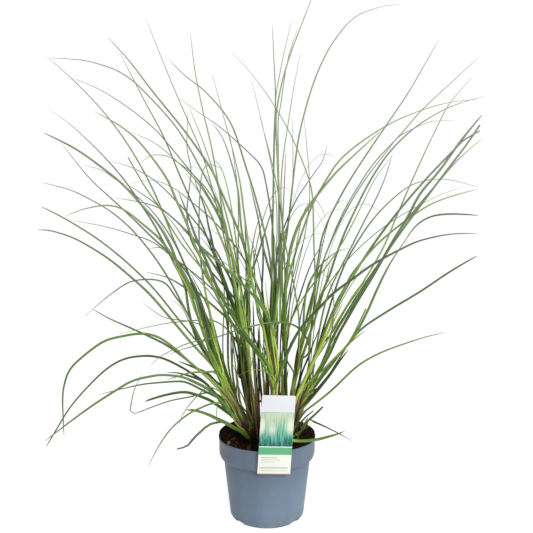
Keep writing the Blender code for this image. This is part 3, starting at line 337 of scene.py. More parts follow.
# Finer blades, written in the same way but for the turn of the face, which is drawn by chance. A route that
# starts high up is led down to its shoot. The near-black ones low in the clump's heart are painted shade:
# dark blades set where the clump lies in shadow.
FINE_BLADES = (
    (1, 5, -90, 0.30, ((-192, 516), (-229, 549), (-270, 589), (-311, 627), (-352, 665), (-387, 707),
        (-412, 740))),
    (4, 2.6, 140, 0.25, ((-188, 709), (-225, 739), (-270, 760))),
    (3, 2.9, -120, 0.30, ((-154, 681), (-174, 697), (-198, 712), (-217, 715), (-234, 713), (-256, 697))),
    (5, 2.2, 100, 0.35, ((17, 805), (18, 835), (30, 899), (49, 984))),
    (2, 7, -170, 0.35, ((-198, 525), (-217, 549), (-252, 579), (-286, 605), (-321, 614), (-368, 606),
        (-404, 592))),
    (4, 2, 160, 0.20, ((-194, 515), (-229, 541), (-270, 556), (-321, 571), (-392, 585))),
    (1, 3.6, -150, 0.15, ((-278, 647), (-310, 671), (-331, 685), (-367, 695))),
    (3, 3.8, -60, 0.45, ((-194, 573), (-211, 604), (-244, 651), (-278, 710))),
    (4, 2.6, 120, 0.25, ((-182, 623), (-221, 661), (-264, 687), (-311, 703))),
    (5, 2.6, 180, 0.25, ((-156, 625), (-188, 649), (-232, 665), (-276, 657))),
    (3, 6, 60, 0.25, ((-220, 615), (-238, 629), (-280, 657))),
    (6, 6.4, -200, 0.30, ((-162, 561), (-180, 581), (-217, 609), (-258, 621), (-303, 629))),
    (2, 6.8, 140, 0.30, ((-154, 439), (-164, 449), (-198, 469), (-242, 481))),
    (4, 5.6, 170, 0.30, ((-170, 481), (-182, 503), (-194, 521), (-214, 530), (-238, 527))),
    (1, 5, 120, 0.35, ((-134, 247), (-154, 257), (-174, 262), (-234, 258), (-264, 253), (-298, 245),
        (-340, 235))),
    (3, 2.1, -120, 0.25, ((-124, 385), (-194, 379), (-254, 367), (-294, 357))),
    (1, 2.2, -90, 0.30, ((-124, 239), (-154, 231), (-194, 223), (-234, 209), (-270, 197), (-272, 215),
        (-264, 249), (-248, 279))),
    (1, 6.8, 90, 0.10, ((-70, 207), (-82, 220), (-97, 232), (-117, 253), (-131, 264), (-156, 273),
        (-180, 279), (-202, 280))),
    (1, 5.4, -60, 0.30, ((-110, 281), (-154, 279), (-174, 273), (-202, 265))),
    (7, 2.8, -230, 0.30, ((86, 325), (78, 351), (60, 371), (36, 379), (6, 379), (-34, 371), (-70, 361),
        (-98, 351), (-154, 339), (-184, 327), (-214, 311), (-236, 291))),
    (1, 6.6, -110, 0.10, ((-70, 169), (-85, 179), (-97, 179), (-112, 176), (-122, 170), (-131, 162),
        (-146, 148), (-158, 133), (-170, 128), (-180, 126))),
    (1, 2, -70, 0.30, ((-127, 245), (-144, 228), (-159, 210), (-170, 193), (-177, 171))),
    (6, 1.6, -90, 0.55, ((16, 269), (-4, 282), (-20, 285), (-34, 284), (-62, 271))),
    (4, 3.4, -60, 0.90, ((-40, 365), (-48, 415), (-58, 465), (-66, 501), (-82, 569))),
    (1, 6.4, -80, 0.82, ((-92, 273), (-107, 302), (-119, 334), (-131, 376), (-139, 393), (-146, 410),
        (-151, 425), (-162, 455), (-176, 480), (-190, 506))),
    (1, 7.4, -60, 0.62, ((-91, 268), (-100, 325), (-120, 425), (-132, 475))),
    (6, 4.2, -50, 0.35, ((26, 385), (28, 501), (32, 595), (38, 725))),
    (6, 4, -60, 0.80, ((20, 275), (8, 365), (-4, 465))),
    (6, 6.6, -66, 0.55, ((6, 285), (-2, 339), (-10, 381), (-19, 413), (-25, 437), (-30, 461), (-33, 485),
        (-37, 531), (-42, 569), (-48, 615), (-55, 665), (-64, 705))),
    (3, 6, -40, 0.15, ((-46, 395), (-46, 425), (-42, 449), (-38, 465), (-24, 499), (-15, 525), (-8, 548),
        (8, 599), (16, 625))),
    (5, 3, -30, 0.20, ((-20, 405), (-24, 465), (-27, 525))),
    (5, 4.8, 60, 0.15, ((-6, 383), (-7, 405), (-9, 430), (-10, 455), (-8, 495), (-8, 553))),
    (5, 1.6, 150, 0.30, ((6, 707), (-14, 795), (-31, 865))),
    (8, 2.2, -110, 0.30, ((7, 711), (-14, 791))),
    (4, 1.8, 190, 0.30, ((-64, 707), (-92, 811), (-110, 879))),
    (5, 5.4, -130, 0.30, ((-52, 575), (-60, 655), (-86, 743), (-112, 781))),
    (3, 2.2, 120, 0.30, ((-66, 705), (-75, 757))),
    (4, 2.8, 60, 0.35, ((-116, 707), (-133, 755), (-156, 811))),
    (6, 1.4, 130, 0.30, ((52, 707), (50, 791))),
    (8, 1.5, -160, 0.30, ((84, 685), (82, 705), (74, 791))),
    (1, 4, -70, 0.10, ((-74, 205), (-92, 225), (-114, 243), (-134, 253), (-164, 267))),
    (1, 7.2, 40, 0.40, ((-104, 263), (-118, 277), (-134, 285), (-178, 303))),
    (1, 4.2, -60, 0.75, ((-62, 177), (-76, 209), (-94, 241), (-114, 265), (-142, 289))),
    (3, 2, -50, 0.15, ((-62, 225), (-60, 265), (-58, 305), (-54, 355))),
    (8, 8.4, -120, 0.35, ((94, 625), (126, 665), (146, 687), (186, 725), (230, 765))),
    (7, 2.2, 230, 0.30, ((242, 725), (266, 753), (326, 781), (376, 783))),
    (9, 4.6, -140, 0.14, ((292, 593), (322, 633), (356, 679), (396, 731), (426, 775))),
    (10, 5.4, 60, 0.00, ((376, 727), (392, 743), (426, 763))),
    (10, 7.4, -60, 0.40, ((252, 563), (286, 589), (326, 615), (366, 631), (422, 647))),
    (7, 1.6, 150, 0.30, ((306, 615), (346, 635), (392, 651))),
    (9, 4, -110, 0.30, ((116, 261), (152, 319), (176, 361), (198, 407))),
    (8, 2.2, -170, 0.70, ((154, 545), (166, 567), (190, 615), (216, 667), (248, 711))),
    (7, 2.9, -140, 0.20, ((100, 485), (112, 499), (136, 519), (164, 529))),
    (6, 2.8, 160, 0.30, ((36, 575), (48, 603), (62, 631), (78, 655), (92, 675), (112, 705), (120, 737))),
    (11, 5.6, -100, 0.40, ((84, 185), (106, 175), (136, 161), (170, 143))),
    (11, 5.4, -60, 0.12, ((80, 181), (96, 195), (112, 211))),
    (11, 3.8, -50, 0.04, ((66, 177), (76, 189), (93, 203))),
    (32, 4.6, -130, 0.40, ((74, 253), (106, 279), (136, 309), (166, 339), (198, 365))),
    (9, 5, -90, 0.30, ((86, 237), (110, 269), (132, 297), (152, 325), (170, 349))),
    (9, 9, -70, 0.02, ((66, 203), (82, 221), (102, 245), (126, 275), (146, 303), (164, 327))),
    (32, 8.4, -60, 0.92, ((60, 231), (72, 257), (84, 283), (94, 303), (104, 322), (114, 343), (128, 371),
        (140, 395), (152, 420))),
    (9, 3, -70, 0.60, ((90, 265), (106, 293), (126, 325), (140, 363))),
    (7, 6.6, -60, 0.20, ((52, 255), (62, 285), (82, 345), (102, 405), (118, 460), (126, 500))),
    (6, 8.4, -230, 0.28, ((12, 270), (-2, 301), (-42, 353), (-58, 375), (-88, 425), (-106, 463),
        (-119, 497), (-138, 539), (-154, 581), (-168, 619), (-178, 645))),
    (3, 5.6, 60, 0.20, ((-46, 335), (-50, 361), (-58, 389), (-68, 417), (-76, 439), (-84, 463),
        (-92, 485), (-100, 507), (-108, 531), (-116, 553))),
    (4, 2.6, -30, 0.04, ((-38, 425), (-44, 445), (-52, 467), (-62, 491), (-76, 519), (-86, 539))),
    (4, 6.2, -90, 0.52, ((-54, 401), (-56, 423), (-66, 463), (-74, 491), (-80, 517), (-90, 543),
        (-100, 567), (-108, 587), (-118, 607), (-128, 627), (-138, 643), (-150, 661), (-162, 679))),
    (1, 2.6, -60, 0.03, ((-102, 355), (-112, 393), (-118, 409), (-126, 427), (-134, 443), (-142, 457),
        (-148, 469), (-156, 483))),
    (3, 1.9, -90, 0.25, ((-78, 365), (-84, 395), (-94, 415), (-106, 429), (-118, 445), (-128, 455),
        (-138, 467), (-150, 479), (-160, 491), (-170, 505))),
    (6, 2, -150, 0.35, ((10, 365), (4, 389), (-6, 409), (-18, 429), (-30, 449), (-42, 463), (-54, 473),
        (-66, 485), (-76, 493), (-90, 503), (-102, 509), (-112, 512), (-124, 514))),
    (2, 1.8, 80, 0.25, ((-110, 533), (-120, 549), (-128, 557), (-138, 561), (-148, 563))),
    (3, 2.8, 100, 0.20, ((-90, 495), (-106, 517), (-114, 527), (-124, 541), (-134, 551))),
    (3, 6.6, 150, 0.15, ((-104, 513), (-108, 533), (-114, 561), (-118, 577), (-122, 599), (-130, 625),
        (-136, 641), (-142, 657), (-146, 673))),
    (2, 1.5, 60, 0.35, ((-182, 511), (-190, 533), (-198, 549), (-206, 565), (-218, 587), (-228, 601))),
    (3, 2.8, -120, 0.30, ((-132, 489), (-140, 505), (-148, 519), (-158, 533), (-168, 549), (-178, 565),
        (-190, 581), (-206, 599))),
    (4, 1.6, 60, 0.20, ((-40, 485), (-43, 497), (-48, 511), (-54, 527), (-60, 545), (-65, 561))),
    (4, 2.7, 120, 0.20, ((-36, 475), (-33, 501), (-30, 525), (-26, 549), (-22, 567), (-17, 585),
        (-14, 601))),
    (5, 6.4, -60, 0.30, ((10, 461), (7, 477), (0, 501), (-8, 531), (-12, 549), (-15, 573), (-20, 599),
        (-25, 619), (-30, 641), (-36, 663))),
    # Painted shade: this near-black blade stands for a dark gap deep in the clump.
    (6, 3.4, 10, 0.02, ((20, 335), (20, 385), (20, 425), (19, 455), (19, 485), (18, 515), (16, 539),
        (13, 561))),
    (8, 2, 90, 0.14, ((36, 365), (39, 405), (42, 425), (46, 445), (50, 463), (56, 485), (60, 501),
        (66, 521), (72, 539), (78, 557))),
    (8, 2.6, 110, 0.05, ((36, 335), (40, 355), (50, 389), (60, 417), (68, 441), (78, 471), (90, 501),
        (102, 523), (116, 545))),
    (7, 1.9, 60, 0.05, ((62, 325), (64, 355), (66, 385), (70, 405), (74, 423), (80, 441), (86, 457),
        (92, 469), (98, 483))),
    (32, 3.4, 0, 0.02, ((58, 241), (64, 259), (72, 285), (82, 307), (88, 325), (94, 341), (102, 361),
        (108, 381), (114, 401))),
    (10, 3, 100, 0.30, ((124, 385), (130, 397), (136, 415), (142, 429), (152, 445), (158, 457),
        (166, 473), (176, 487), (186, 499), (198, 513))),
    (10, 3, 60, 0.75, ((116, 349), (124, 365), (130, 385), (138, 401), (146, 417), (154, 431), (162, 445),
        (170, 457), (178, 469), (186, 481), (198, 497))),
    (9, 1.8, -120, 0.10, ((133, 393), (134, 413), (133, 431), (130, 447), (125, 461), (118, 473),
        (110, 481))),
    (10, 2.4, 90, 0.03, ((136, 369), (146, 387), (154, 401), (164, 417), (174, 431), (186, 449),
        (198, 465))),
    (1, 1.9, -60, 0.20, ((-156, 381), (-161, 393), (-166, 403), (-172, 411), (-180, 418), (-188, 423),
        (-194, 425))),
    (1, 1.9, -100, 0.20, ((-154, 382), (-164, 383), (-178, 385), (-194, 387), (-208, 391), (-220, 398),
        (-234, 408), (-248, 419))),
    (1, 2.2, -80, 0.20, ((-122, 345), (-138, 336), (-154, 330), (-170, 326), (-186, 320), (-200, 313))),
    (1, 4.4, -70, 0.70, ((-87, 280), (-96, 310), (-106, 342), (-114, 372))),
    (8, 2.9, -60, 0.20, ((36, 320), (40, 303), (48, 289), (54, 277), (60, 265))),
    (10, 2.4, -20, 0.30, ((60, 225), (66, 241), (76, 255), (86, 273), (92, 285), (98, 297))),
    # Painted shade: these wide near-black blades fill the dark between the shoots low in the clump.
    (3, 7, 60, 0.03, ((-34, 176), (-42, 226), (-50, 265), (-54, 305), (-60, 345), (-70, 385))),
    (3, 7, 70, 0.05, ((-26, 176), (-32, 226), (-38, 265), (-40, 305), (-42, 345), (-46, 385),
        (-50, 425))),
    (5, 6.5, 60, 0.04, ((-14, 172), (-20, 226), (-24, 265), (-26, 305), (-26, 345), (-27, 385),
        (-28, 425))),
    (5, 6, 50, 0.02, ((-6, 172), (-10, 226), (-14, 265), (-16, 305), (-17, 345), (-18, 375))),
    (8, 4.6, 80, 0.08, ((26, 182), (30, 226), (34, 265), (35, 295), (36, 320))),
    (8, 4.6, 90, 0.06, ((36, 186), (38, 226), (38, 265), (37, 285), (36, 306))),
    (10, 8, 60, 0.10, ((46, 180), (52, 226), (54, 250), (60, 275), (68, 300), (76, 325))),
    (7, 6, 40, 0.12, ((50, 180), (56, 226), (64, 260), (74, 290), (84, 315), (94, 345))),
    (2, 5, -20, 0.04, ((-62, 225), (-68, 269), (-70, 295), (-70, 315), (-68, 335), (-72, 361))),
    (3, 6, -20, 0.58, ((-49, 295), (-51, 312), (-54, 330), (-58, 351), (-62, 372), (-64, 390))),
    (4, 5.5, -60, 0.76, ((-33, 272), (-34, 290), (-35, 315), (-38, 339), (-43, 365), (-48, 390),
        (-52, 415))),
    (1, 6.6, -50, 0.36, ((-90, 269), (-107, 315), (-117, 344), (-121, 376), (-129, 400), (-139, 425),
        (-150, 455), (-160, 481))),
    (1, 6.4, 30, 0.44, ((-92, 262), (-104, 290), (-114, 320), (-120, 345), (-125, 365), (-131, 385),
        (-137, 405), (-143, 425), (-150, 450))),
    (1, 2.2, -60, 0.70, ((-40, 147), (-48, 156), (-58, 165))),
    (2, 1.8, -70, 0.20, ((-98, 219), (-101, 199), (-101, 185), (-99, 170))),
    (31, 3.6, -30, 0.06, ((-22, 177), (-40, 199), (-52, 215), (-57, 229), (-58, 245), (-58, 265),
        (-64, 285), (-72, 305))),
    (31, 2.8, -40, 0.03, ((-30, 185), (-40, 209), (-48, 231), (-54, 243), (-60, 262))),
    (11, 3.4, -40, 0.30, ((58, 153), (66, 161), (78, 169), (88, 175))),
    (32, 3, -60, 0.50, ((52, 165), (58, 156), (64, 147))),
    (3, 5, -10, 0.02, ((-42, 228), (-46, 265), (-49, 295), (-50, 325), (-52, 350))),
    (5, 4.6, -10, 0.02, ((-22, 235), (-24, 270), (-26, 305), (-27, 340), (-28, 375))),
    (8, 6, -30, 0.60, ((24, 190), (24, 235), (25, 262), (27, 285), (28, 320))),
    (8, 5, -20, 0.42, ((30, 190), (30, 235), (32, 262), (30, 290), (29, 325))),
    (3, 5.5, -5, 0.06, ((-56, 275), (-58, 301), (-62, 321), (-65, 335), (-68, 353), (-74, 375))),
    (32, 5, -50, 0.50, ((50, 160), (60, 178), (72, 196), (84, 208), (104, 224))),
    (35, 6, -48, 0.80, ((20, 245), (22, 280), (20, 320), (13, 350), (5, 380), (-3, 420))),
    (6, 6.4, -40, 0.40, ((14, 240), (11, 281), (5, 309), (-1, 333), (-8, 371), (-16, 415))),
    (8, 6.4, -10, 0.66, ((33, 200), (32, 237), (31, 262), (29, 285), (27, 318))),
    (7, 6, -30, 0.10, ((40, 190), (39, 240), (38, 285), (36, 315), (32, 345))),
)


def linear(hex_colour, strength=1.0):
    """An sRGB hex colour as linear red, green and blue."""
    values = []
    for i in (0, 2, 4):
        part = int(hex_colour[i:i + 2], 16) / 255
        part = part / 12.92 if part <= 0.04045 else ((part + 0.055) / 1.055) ** 2.4
        values.append(part * strength)
    return tuple(values)


def mixed(a, b, share):
    share = min(1, max(0, share))
    return tuple(p + (q - p) * share for p, q in zip(a, b))


def smooth_step(low, high, value):
    share = min(1, max(0, (value - low) / (high - low)))
    return share * share * (3 - 2 * share)


def seen_from_front(x, z, y):
    """The point that is seen at x, z on the plane through the pot's axis, and lies at y."""
    share = (VIEW_DISTANCE + y) / VIEW_DISTANCE
    return Vector((x * share, y, VIEW_HEIGHT + (z - VIEW_HEIGHT) * share)) * MM


def curve_through(points, share):
    """A point of the smooth (Catmull-Rom) curve through points, at a share of its point count."""
    place = share * (len(points) - 1)
    i = min(int(place), len(points) - 2)
    t = place - i
    before, a, b, after = (Vector(points[max(0, min(j, len(points) - 1))]) for j in range(i - 1, i + 3))
    return 0.5 * (2 * a + (b - before) * t + (2 * before - 5 * a + 4 * b - after) * t ** 2
                  + (3 * a - before - 3 * b + after) * t ** 3)


def evenly_along(points, count):
    """count points of the smooth curve through points, equally far apart along it."""
    fine = [curve_through(points, i / 200) for i in range(201)]
    reached = [0.0]
    for a, b in zip(fine, fine[1:]):
        reached.append(reached[-1] + (b - a).length)
    even = []
    i = 0
    for k in range(count):
        wanted = reached[-1] * k / (count - 1)
        while i < 199 and reached[i + 1] < wanted:
            i += 1
        even.append(fine[i].lerp(fine[i + 1], (wanted - reached[i]) / (reached[i + 1] - reached[i])))
    return even


def deselect_all():
    bpy.ops.object.select_all(action="DESELECT")


def apply_place():
    """Puts the chosen object's place, turn and size into its mesh."""
    bpy.ops.object.transform_apply(location=True, rotation=True, scale=True)


def edit_all():
    """Starts to edit the active mesh, with all of it selected."""
    bpy.ops.object.mode_set(mode="EDIT")
    bpy.ops.mesh.select_all(action="SELECT")


def stop_editing():
    bpy.ops.object.mode_set(mode="OBJECT")


def pick(obj):
    deselect_all()
    obj.select_set(True)
    bpy.context.view_layer.objects.active = obj


def apply_modifier(obj, kind, **settings):
    pick(obj)
    bpy.ops.object.modifier_add(type=kind)
    modifier = obj.modifiers[-1]
    for name, value in settings.items():
        setattr(modifier, name, value)
    bpy.ops.object.modifier_apply(modifier=modifier.name)


def face_outwards(obj):
    """Turns a closed mesh's faces outwards. On a thin card Blender's own choice can come out
    inside out, which the mesh's volume shows, and then they are all flipped."""
    pick(obj)
    edit_all()
    bpy.ops.mesh.normals_make_consistent(inside=False)
    if bmesh.from_edit_mesh(obj.data).calc_volume(signed=True) < 0:
        bpy.ops.mesh.flip_normals()
    stop_editing()


def joined(objects):
    """The objects made one, which keeps the first one's name."""
    pick(objects[0])
    for obj in objects:
        obj.select_set(True)
    bpy.ops.object.join()
    return objects[0]


def finish_piece(piece, name, materials=(), nodes=()):
    """Names a piece, puts its place in its mesh, and hands it to the frame."""
    pick(piece)
    apply_place()
    piece.name = name
    piece.data.name = name
    for material in materials:
        piece.data.materials.append(material)
    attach(piece, "root")
    if nodes:
        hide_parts(*nodes)
    return piece


def add_node(tree, kind, inputs=(), output=0, **settings):
    """Adds a shader node and gives one of its outputs. inputs maps a socket to a value or to
    another node's output."""
    node = tree.nodes.new("ShaderNode" + kind)
    for name, value in settings.items():
        setattr(node, name, value)
    for socket, value in dict(inputs).items():
        if isinstance(value, bpy.types.NodeSocket):
            tree.links.new(value, node.inputs[socket])
        else:
            node.inputs[socket].default_value = value
    return node.outputs[output]


def new_material(name, **sockets):
    """A material with a Principled BSDF, whose constant sockets are given by name."""
    material = bpy.data.materials.new(name)
    material.use_nodes = True
    shader = material.node_tree.nodes["Principled BSDF"]
    for socket, value in sockets.items():
        shader.inputs[socket.replace("_", " ")].default_value = value
    return material, material.node_tree, shader


def connect(tree, shader, **outputs):
    """Links nodes' outputs to a shader's sockets, which are given by name."""
    for socket, output in outputs.items():
        tree.links.new(output, shader.inputs[socket.replace("_", " ")])


def set_ramp(node, stops, interpolation="LINEAR"):
    """Gives a Color Ramp its stops, each a place and a linear colour."""
    ramp = node.color_ramp
    ramp.interpolation = interpolation
    while len(ramp.elements) < len(stops):
        ramp.elements.new(1.0)
    for element, (place, colour) in zip(ramp.elements, stops):
        element.position = place
        element.color = (*colour, 1)


def pot_material(colour):
    """Recycled polypropylene, injection moulded: a satin blue-grey with faint cloudy streaks from the melt, a
    fine pebbled skin from the mould, and dust-pale scuffs towards the base. Over it lie painted shade under
    the collar and painted floor light towards the foot."""
    material, tree, shader = new_material("moulded polypropylene", Roughness=0.46, IOR=1.49)
    place = add_node(tree, "TexCoord", output="Object")
    streaks = add_node(tree, "Mapping", {"Vector": place, "Scale": (14, 14, 5)})
    clouds = add_node(tree, "TexNoise", {"Vector": streaks, "Scale": 1.6, "Detail": 4, "Roughness": 0.6})
    base = add_node(tree, "ValToRGB", {"Fac": clouds})
    set_ramp(base.node, [(0.30, tuple(1.27 * c for c in colour)), (0.70, tuple(1.50 * c for c in colour))])
    height = add_node(tree, "SeparateXYZ", {"Vector": place}, output="Z")
    # Painted light and shade: the wall is paled towards its foot, where the floor's light reaches it, and
    # darkened in a band just under the collar, where the collar's shadow falls.
    up = add_node(tree, "Math", {0: height, 1: POT_HEIGHT}, operation="DIVIDE")
    painted_shade_and_uplight = add_node(tree, "ValToRGB", {"Fac": up})
    set_ramp(painted_shade_and_uplight.node, [(0.0, (0.80,) * 3), (0.20, (0.92,) * 3), (0.45, (0.86,) * 3),
                         (0.68, (0.70,) * 3), (0.755, (0.56,) * 3), (0.775, (0.72,) * 3),
                         (1.0, (0.72,) * 3)])
    pale = add_node(tree, "VectorMath", {0: base, 1: painted_shade_and_uplight}, operation="MULTIPLY")
    low = add_node(tree, "MapRange", {"Value": height, "From Min": 45 * MM, "From Max": 0.0})
    scuffs = add_node(tree, "TexNoise", {"Vector": place, "Scale": 55, "Detail": 6, "Roughness": 0.7})
    worn = add_node(tree, "MapRange", {"Value": scuffs, "From Min": 0.52, "From Max": 0.66})
    dust = add_node(tree, "Math", {0: low, 1: worn}, operation="MULTIPLY")
    dust = add_node(tree, "Math", {0: dust, 1: 0.30}, operation="MULTIPLY")
    mix = add_node(tree, "Mix", {0: dust, 6: pale, 7: (*linear("9a9a92"), 1)}, output=2, data_type="RGBA")
    # The mould's skin has a grain of about 0.8 mm.
    grain = add_node(tree, "TexNoise", {"Vector": place, "Scale": 1 / (0.8 * MM), "Detail": 2})
    rough = add_node(tree, "MapRange", {"Value": grain, "To Min": 0.40, "To Max": 0.52})
    bump = add_node(tree, "Bump", {"Height": grain, "Strength": 0.12, "Distance": 0.2 * MM})
    connect(tree, shader, Base_Color=mix, Roughness=rough, Normal=bump)
    return material


def soil_material(dark, light):
    """Moist peat compost: near black, matt, with a loose crumb of 2 to 4 mm and brown fibres."""
    material, tree, shader = new_material("peat compost", Roughness=0.95, IOR=1.15)
    place = add_node(tree, "TexCoord", output="Object")
    crumb = add_node(tree, "TexNoise", {"Vector": place, "Scale": 1 / (4 * MM), "Detail": 5,
                                        "Roughness": 0.7})
    colour = add_node(tree, "ValToRGB", {"Fac": crumb})
    set_ramp(colour.node, [(0.40, dark), (0.58, mixed(dark, light, 0.5)), (0.70, light)])
    cells = add_node(tree, "TexVoronoi", {"Vector": place, "Scale": 1 / (3 * MM)})
    bump = add_node(tree, "Bump", {"Height": cells, "Strength": 1.0, "Distance": 2 * MM})
    connect(tree, shader, Base_Color=colour, Normal=bump)
    return material


def litter_material():
    """Composted pine bark and fibre: matt, cleft along the grain, black-brown to orange-brown by
    the piece, which its colour attribute says."""
    material, tree, shader = new_material("composted bark", Roughness=0.9, IOR=1.2)
    place = add_node(tree, "TexCoord", output="Object")
    own = add_node(tree, "Attribute", attribute_name=COLOUR_LAYER)
    grain = add_node(tree, "TexNoise", {"Vector": place, "Scale": 1 / (1.5 * MM), "Detail": 4})
    shade = add_node(tree, "MapRange", {"Value": grain, "To Min": 0.55, "To Max": 1.35})
    colour = add_node(tree, "VectorMath", {0: own, "Scale": shade}, operation="SCALE")
    bump = add_node(tree, "Bump", {"Height": grain, "Strength": 0.6, "Distance": 0.5 * MM})
    connect(tree, shader, Base_Color=colour, Normal=bump)
    return material


def leaf_material(name, roughness, veins, vein_shade, midrib):
    """A grass leaf or sheath: a satin wax skin over parallel veins, with a paler midrib on the
    leaf. The colour along it is its own attribute, and u of its UV map runs across it."""
    material, tree, shader = new_material(name, Roughness=roughness, IOR=1.45)
    place = add_node(tree, "TexCoord", output="Object")
    across = add_node(tree, "UVMap")
    across = add_node(tree, "SeparateXYZ", {"Vector": across}, output="X")
    own = add_node(tree, "Attribute", attribute_name=COLOUR_LAYER)
    # A vein stands about every 0.7 mm across the leaf.
    wave = add_node(tree, "Math", {0: across, 1: veins * 2 * math.pi}, operation="MULTIPLY")
    wave = add_node(tree, "Math", {0: wave}, operation="SINE")
    vein = add_node(tree, "MapRange", {"Value": wave, "From Min": -1, "To Min": 1 - vein_shade,
                                       "To Max": 1 + vein_shade})
    patches = add_node(tree, "TexNoise", {"Vector": place, "Scale": 1 / (26 * MM), "Detail": 3})
    patch = add_node(tree, "MapRange", {"Value": patches, "From Min": 0.3, "From Max": 0.7, "To Min": 0.86,
                                        "To Max": 1.12})
    shade = add_node(tree, "Math", {0: vein, 1: patch}, operation="MULTIPLY")
    off_middle = add_node(tree, "Math", {0: across, 1: 0.5}, operation="SUBTRACT")
    off_middle = add_node(tree, "Math", {0: off_middle}, operation="ABSOLUTE")
    rib = add_node(tree, "MapRange", {"Value": off_middle, "From Min": 0.10, "From Max": 0.02,
                                      "To Min": 1.0, "To Max": 1 + midrib})
    shade = add_node(tree, "Math", {0: shade, 1: rib}, operation="MULTIPLY")
    # Painted shade: the colour darkens towards the edges, where they curl away from the light.
    edge = add_node(tree, "MapRange", {"Value": off_middle, "From Min": 0.34, "From Max": 0.5,
                                       "To Min": 1.0, "To Max": 0.66})
    shade = add_node(tree, "Math", {0: shade, 1: edge}, operation="MULTIPLY")
    colour = add_node(tree, "VectorMath", {0: own, "Scale": shade}, operation="SCALE")
    bump = add_node(tree, "Bump", {"Height": wave, "Strength": 0.35, "Distance": 0.08 * MM})
    connect(tree, shader, Base_Color=colour, Normal=bump)
    return material


def card_material(white):
    """Polypropylene card, extruded and die cut: smooth, white and a little glossy."""
    material, tree, shader = new_material("white polypropylene card", Roughness=0.34, IOR=1.49)
    shader.inputs["Base Color"].default_value = (*white, 1)
    place = add_node(tree, "TexCoord", output="Object")
    haze = add_node(tree, "TexNoise", {"Vector": place, "Scale": 1 / (9 * MM), "Detail": 3})
    rough = add_node(tree, "MapRange", {"Value": haze, "To Min": 0.28, "To Max": 0.42})
    connect(tree, shader, Roughness=rough)
    return material


def print_material(white, cream, band):
    """Offset print under a clear varnish: a bare white strip, a garden picture of soft lights over
    leaning strokes, a bare green band, and a cream panel with plain rules."""
    material, tree, shader = new_material("varnished offset print", Roughness=0.30, IOR=1.5)
    print_place = add_node(tree, "UVMap")
    right = add_node(tree, "SeparateXYZ", {"Vector": print_place}, output="X")
    up = right.node.outputs["Y"]
    # The picture: strokes that lean to the right, teal in shade and yellow-green in light.
    leaning = add_node(tree, "Mapping", {"Vector": print_place, "Rotation": (0, 0, math.radians(-24)),
                                         "Scale": (15, 3.4, 1)})
    strokes = add_node(tree, "TexNoise", {"Vector": leaning, "Scale": 1.5, "Detail": 3})
    rise = add_node(tree, "MapRange", {"Value": up, "From Min": PICTURE_LOW, "From Max": PICTURE_HIGH,
                                       "To Min": -0.26, "To Max": 0.30})
    tone = add_node(tree, "Math", {0: strokes, 1: rise}, operation="ADD")
    leaves = add_node(tree, "ValToRGB", {"Fac": tone})
    set_ramp(leaves.node, [(0.26, linear("12574f")), (0.42, linear("3a9a84")),
                           (0.56, linear("7fb39a")), (0.74, linear("b9c4a6"))])
    discs = add_node(tree, "Mapping", {"Vector": print_place, "Scale": (2.3, 3.4, 1),
                                       "Location": (0.3, 0.15, 0)})
    discs = add_node(tree, "TexVoronoi", {"Vector": discs, "Scale": 1.0, "Randomness": 0.75})
    glow = add_node(tree, "MapRange", {"Value": discs, "From Min": 0.50, "From Max": 0.22})
    high = add_node(tree, "MapRange", {"Value": up, "From Min": 0.42, "From Max": 0.56})
    glow = add_node(tree, "Math", {0: glow, 1: high}, operation="MULTIPLY")
    glow = add_node(tree, "Math", {0: glow, 1: 0.85}, operation="MULTIPLY")
    picture = add_node(tree, "Mix", {0: glow, 6: leaves, 7: (*linear("e6e5cf"), 1)},
                       output=2, data_type="RGBA")
    # The plain areas, from the card's foot upwards.
    areas = add_node(tree, "ValToRGB", {"Fac": up})
    set_ramp(areas.node, [(0.0, linear("b9826e")), (0.008, cream), (BAND_LOW, band),
                          (BAND_HIGH, cream), (PICTURE_HIGH, linear("8fbfb6")),
                          (PICTURE_HIGH + 0.010, white)], "CONSTANT")
    colour = areas
    for middle, left_end, right_end, ink in PANEL_RULES:
        on_height = add_node(tree, "Math", {0: up, 1: middle, 2: 0.006}, operation="COMPARE")
        in_width = add_node(tree, "Math", {0: right, 1: (left_end + right_end) / 2,
                                           2: (right_end - left_end) / 2}, operation="COMPARE")
        rule = add_node(tree, "Math", {0: on_height, 1: in_width}, operation="MULTIPLY")
        colour = add_node(tree, "Mix", {0: rule, 6: colour, 7: (*linear(ink), 1)},
                          output=2, data_type="RGBA")
    in_picture = add_node(tree, "Math", {0: up, 1: (PICTURE_LOW + PICTURE_HIGH) / 2,
                                         2: (PICTURE_HIGH - PICTURE_LOW) / 2}, operation="COMPARE")
    colour = add_node(tree, "Mix", {0: in_picture, 6: colour, 7: picture}, output=2, data_type="RGBA")
    connect(tree, shader, Base_Color=colour)
    return material


def floor_material(colour, glow):
    """A white studio floor, lit through from below: even, matt and pale. It throws less light up
    at the plant than it shows, as the lamps under it do that face the camera."""
    material, tree, shader = new_material("matt white acrylic floor", Roughness=0.9, IOR=1.4,
                                          Emission_Color=(1, 1, 1, 1))
    seen = add_node(tree, "LightPath", output="Is Camera Ray")
    shine = add_node(tree, "MapRange", {"Value": seen, "To Min": glow * FLOOR_UPLIGHT, "To Max": glow})
    place = add_node(tree, "TexCoord", output="Object")
    stipple = add_node(tree, "TexNoise", {"Vector": place, "Scale": 1 / (8 * MM), "Detail": 2})
    shade = add_node(tree, "MapRange", {"Value": stipple, "To Min": 0.985, "To Max": 1.0})
    paint = add_node(tree, "VectorMath", {0: colour, "Scale": shade}, operation="SCALE")
    connect(tree, shader, Base_Color=paint, Emission_Strength=shine)
    return material


def arc(radius, height, corner, first, last, count):
    """Points of a round corner of a section, drawn about radius, height between two angles."""
    points = []
    for i in range(count):
        angle = math.radians(first + (last - first) * i / (count - 1))
        points.append((radius + corner * math.cos(angle), height + corner * math.sin(angle)))
    return points


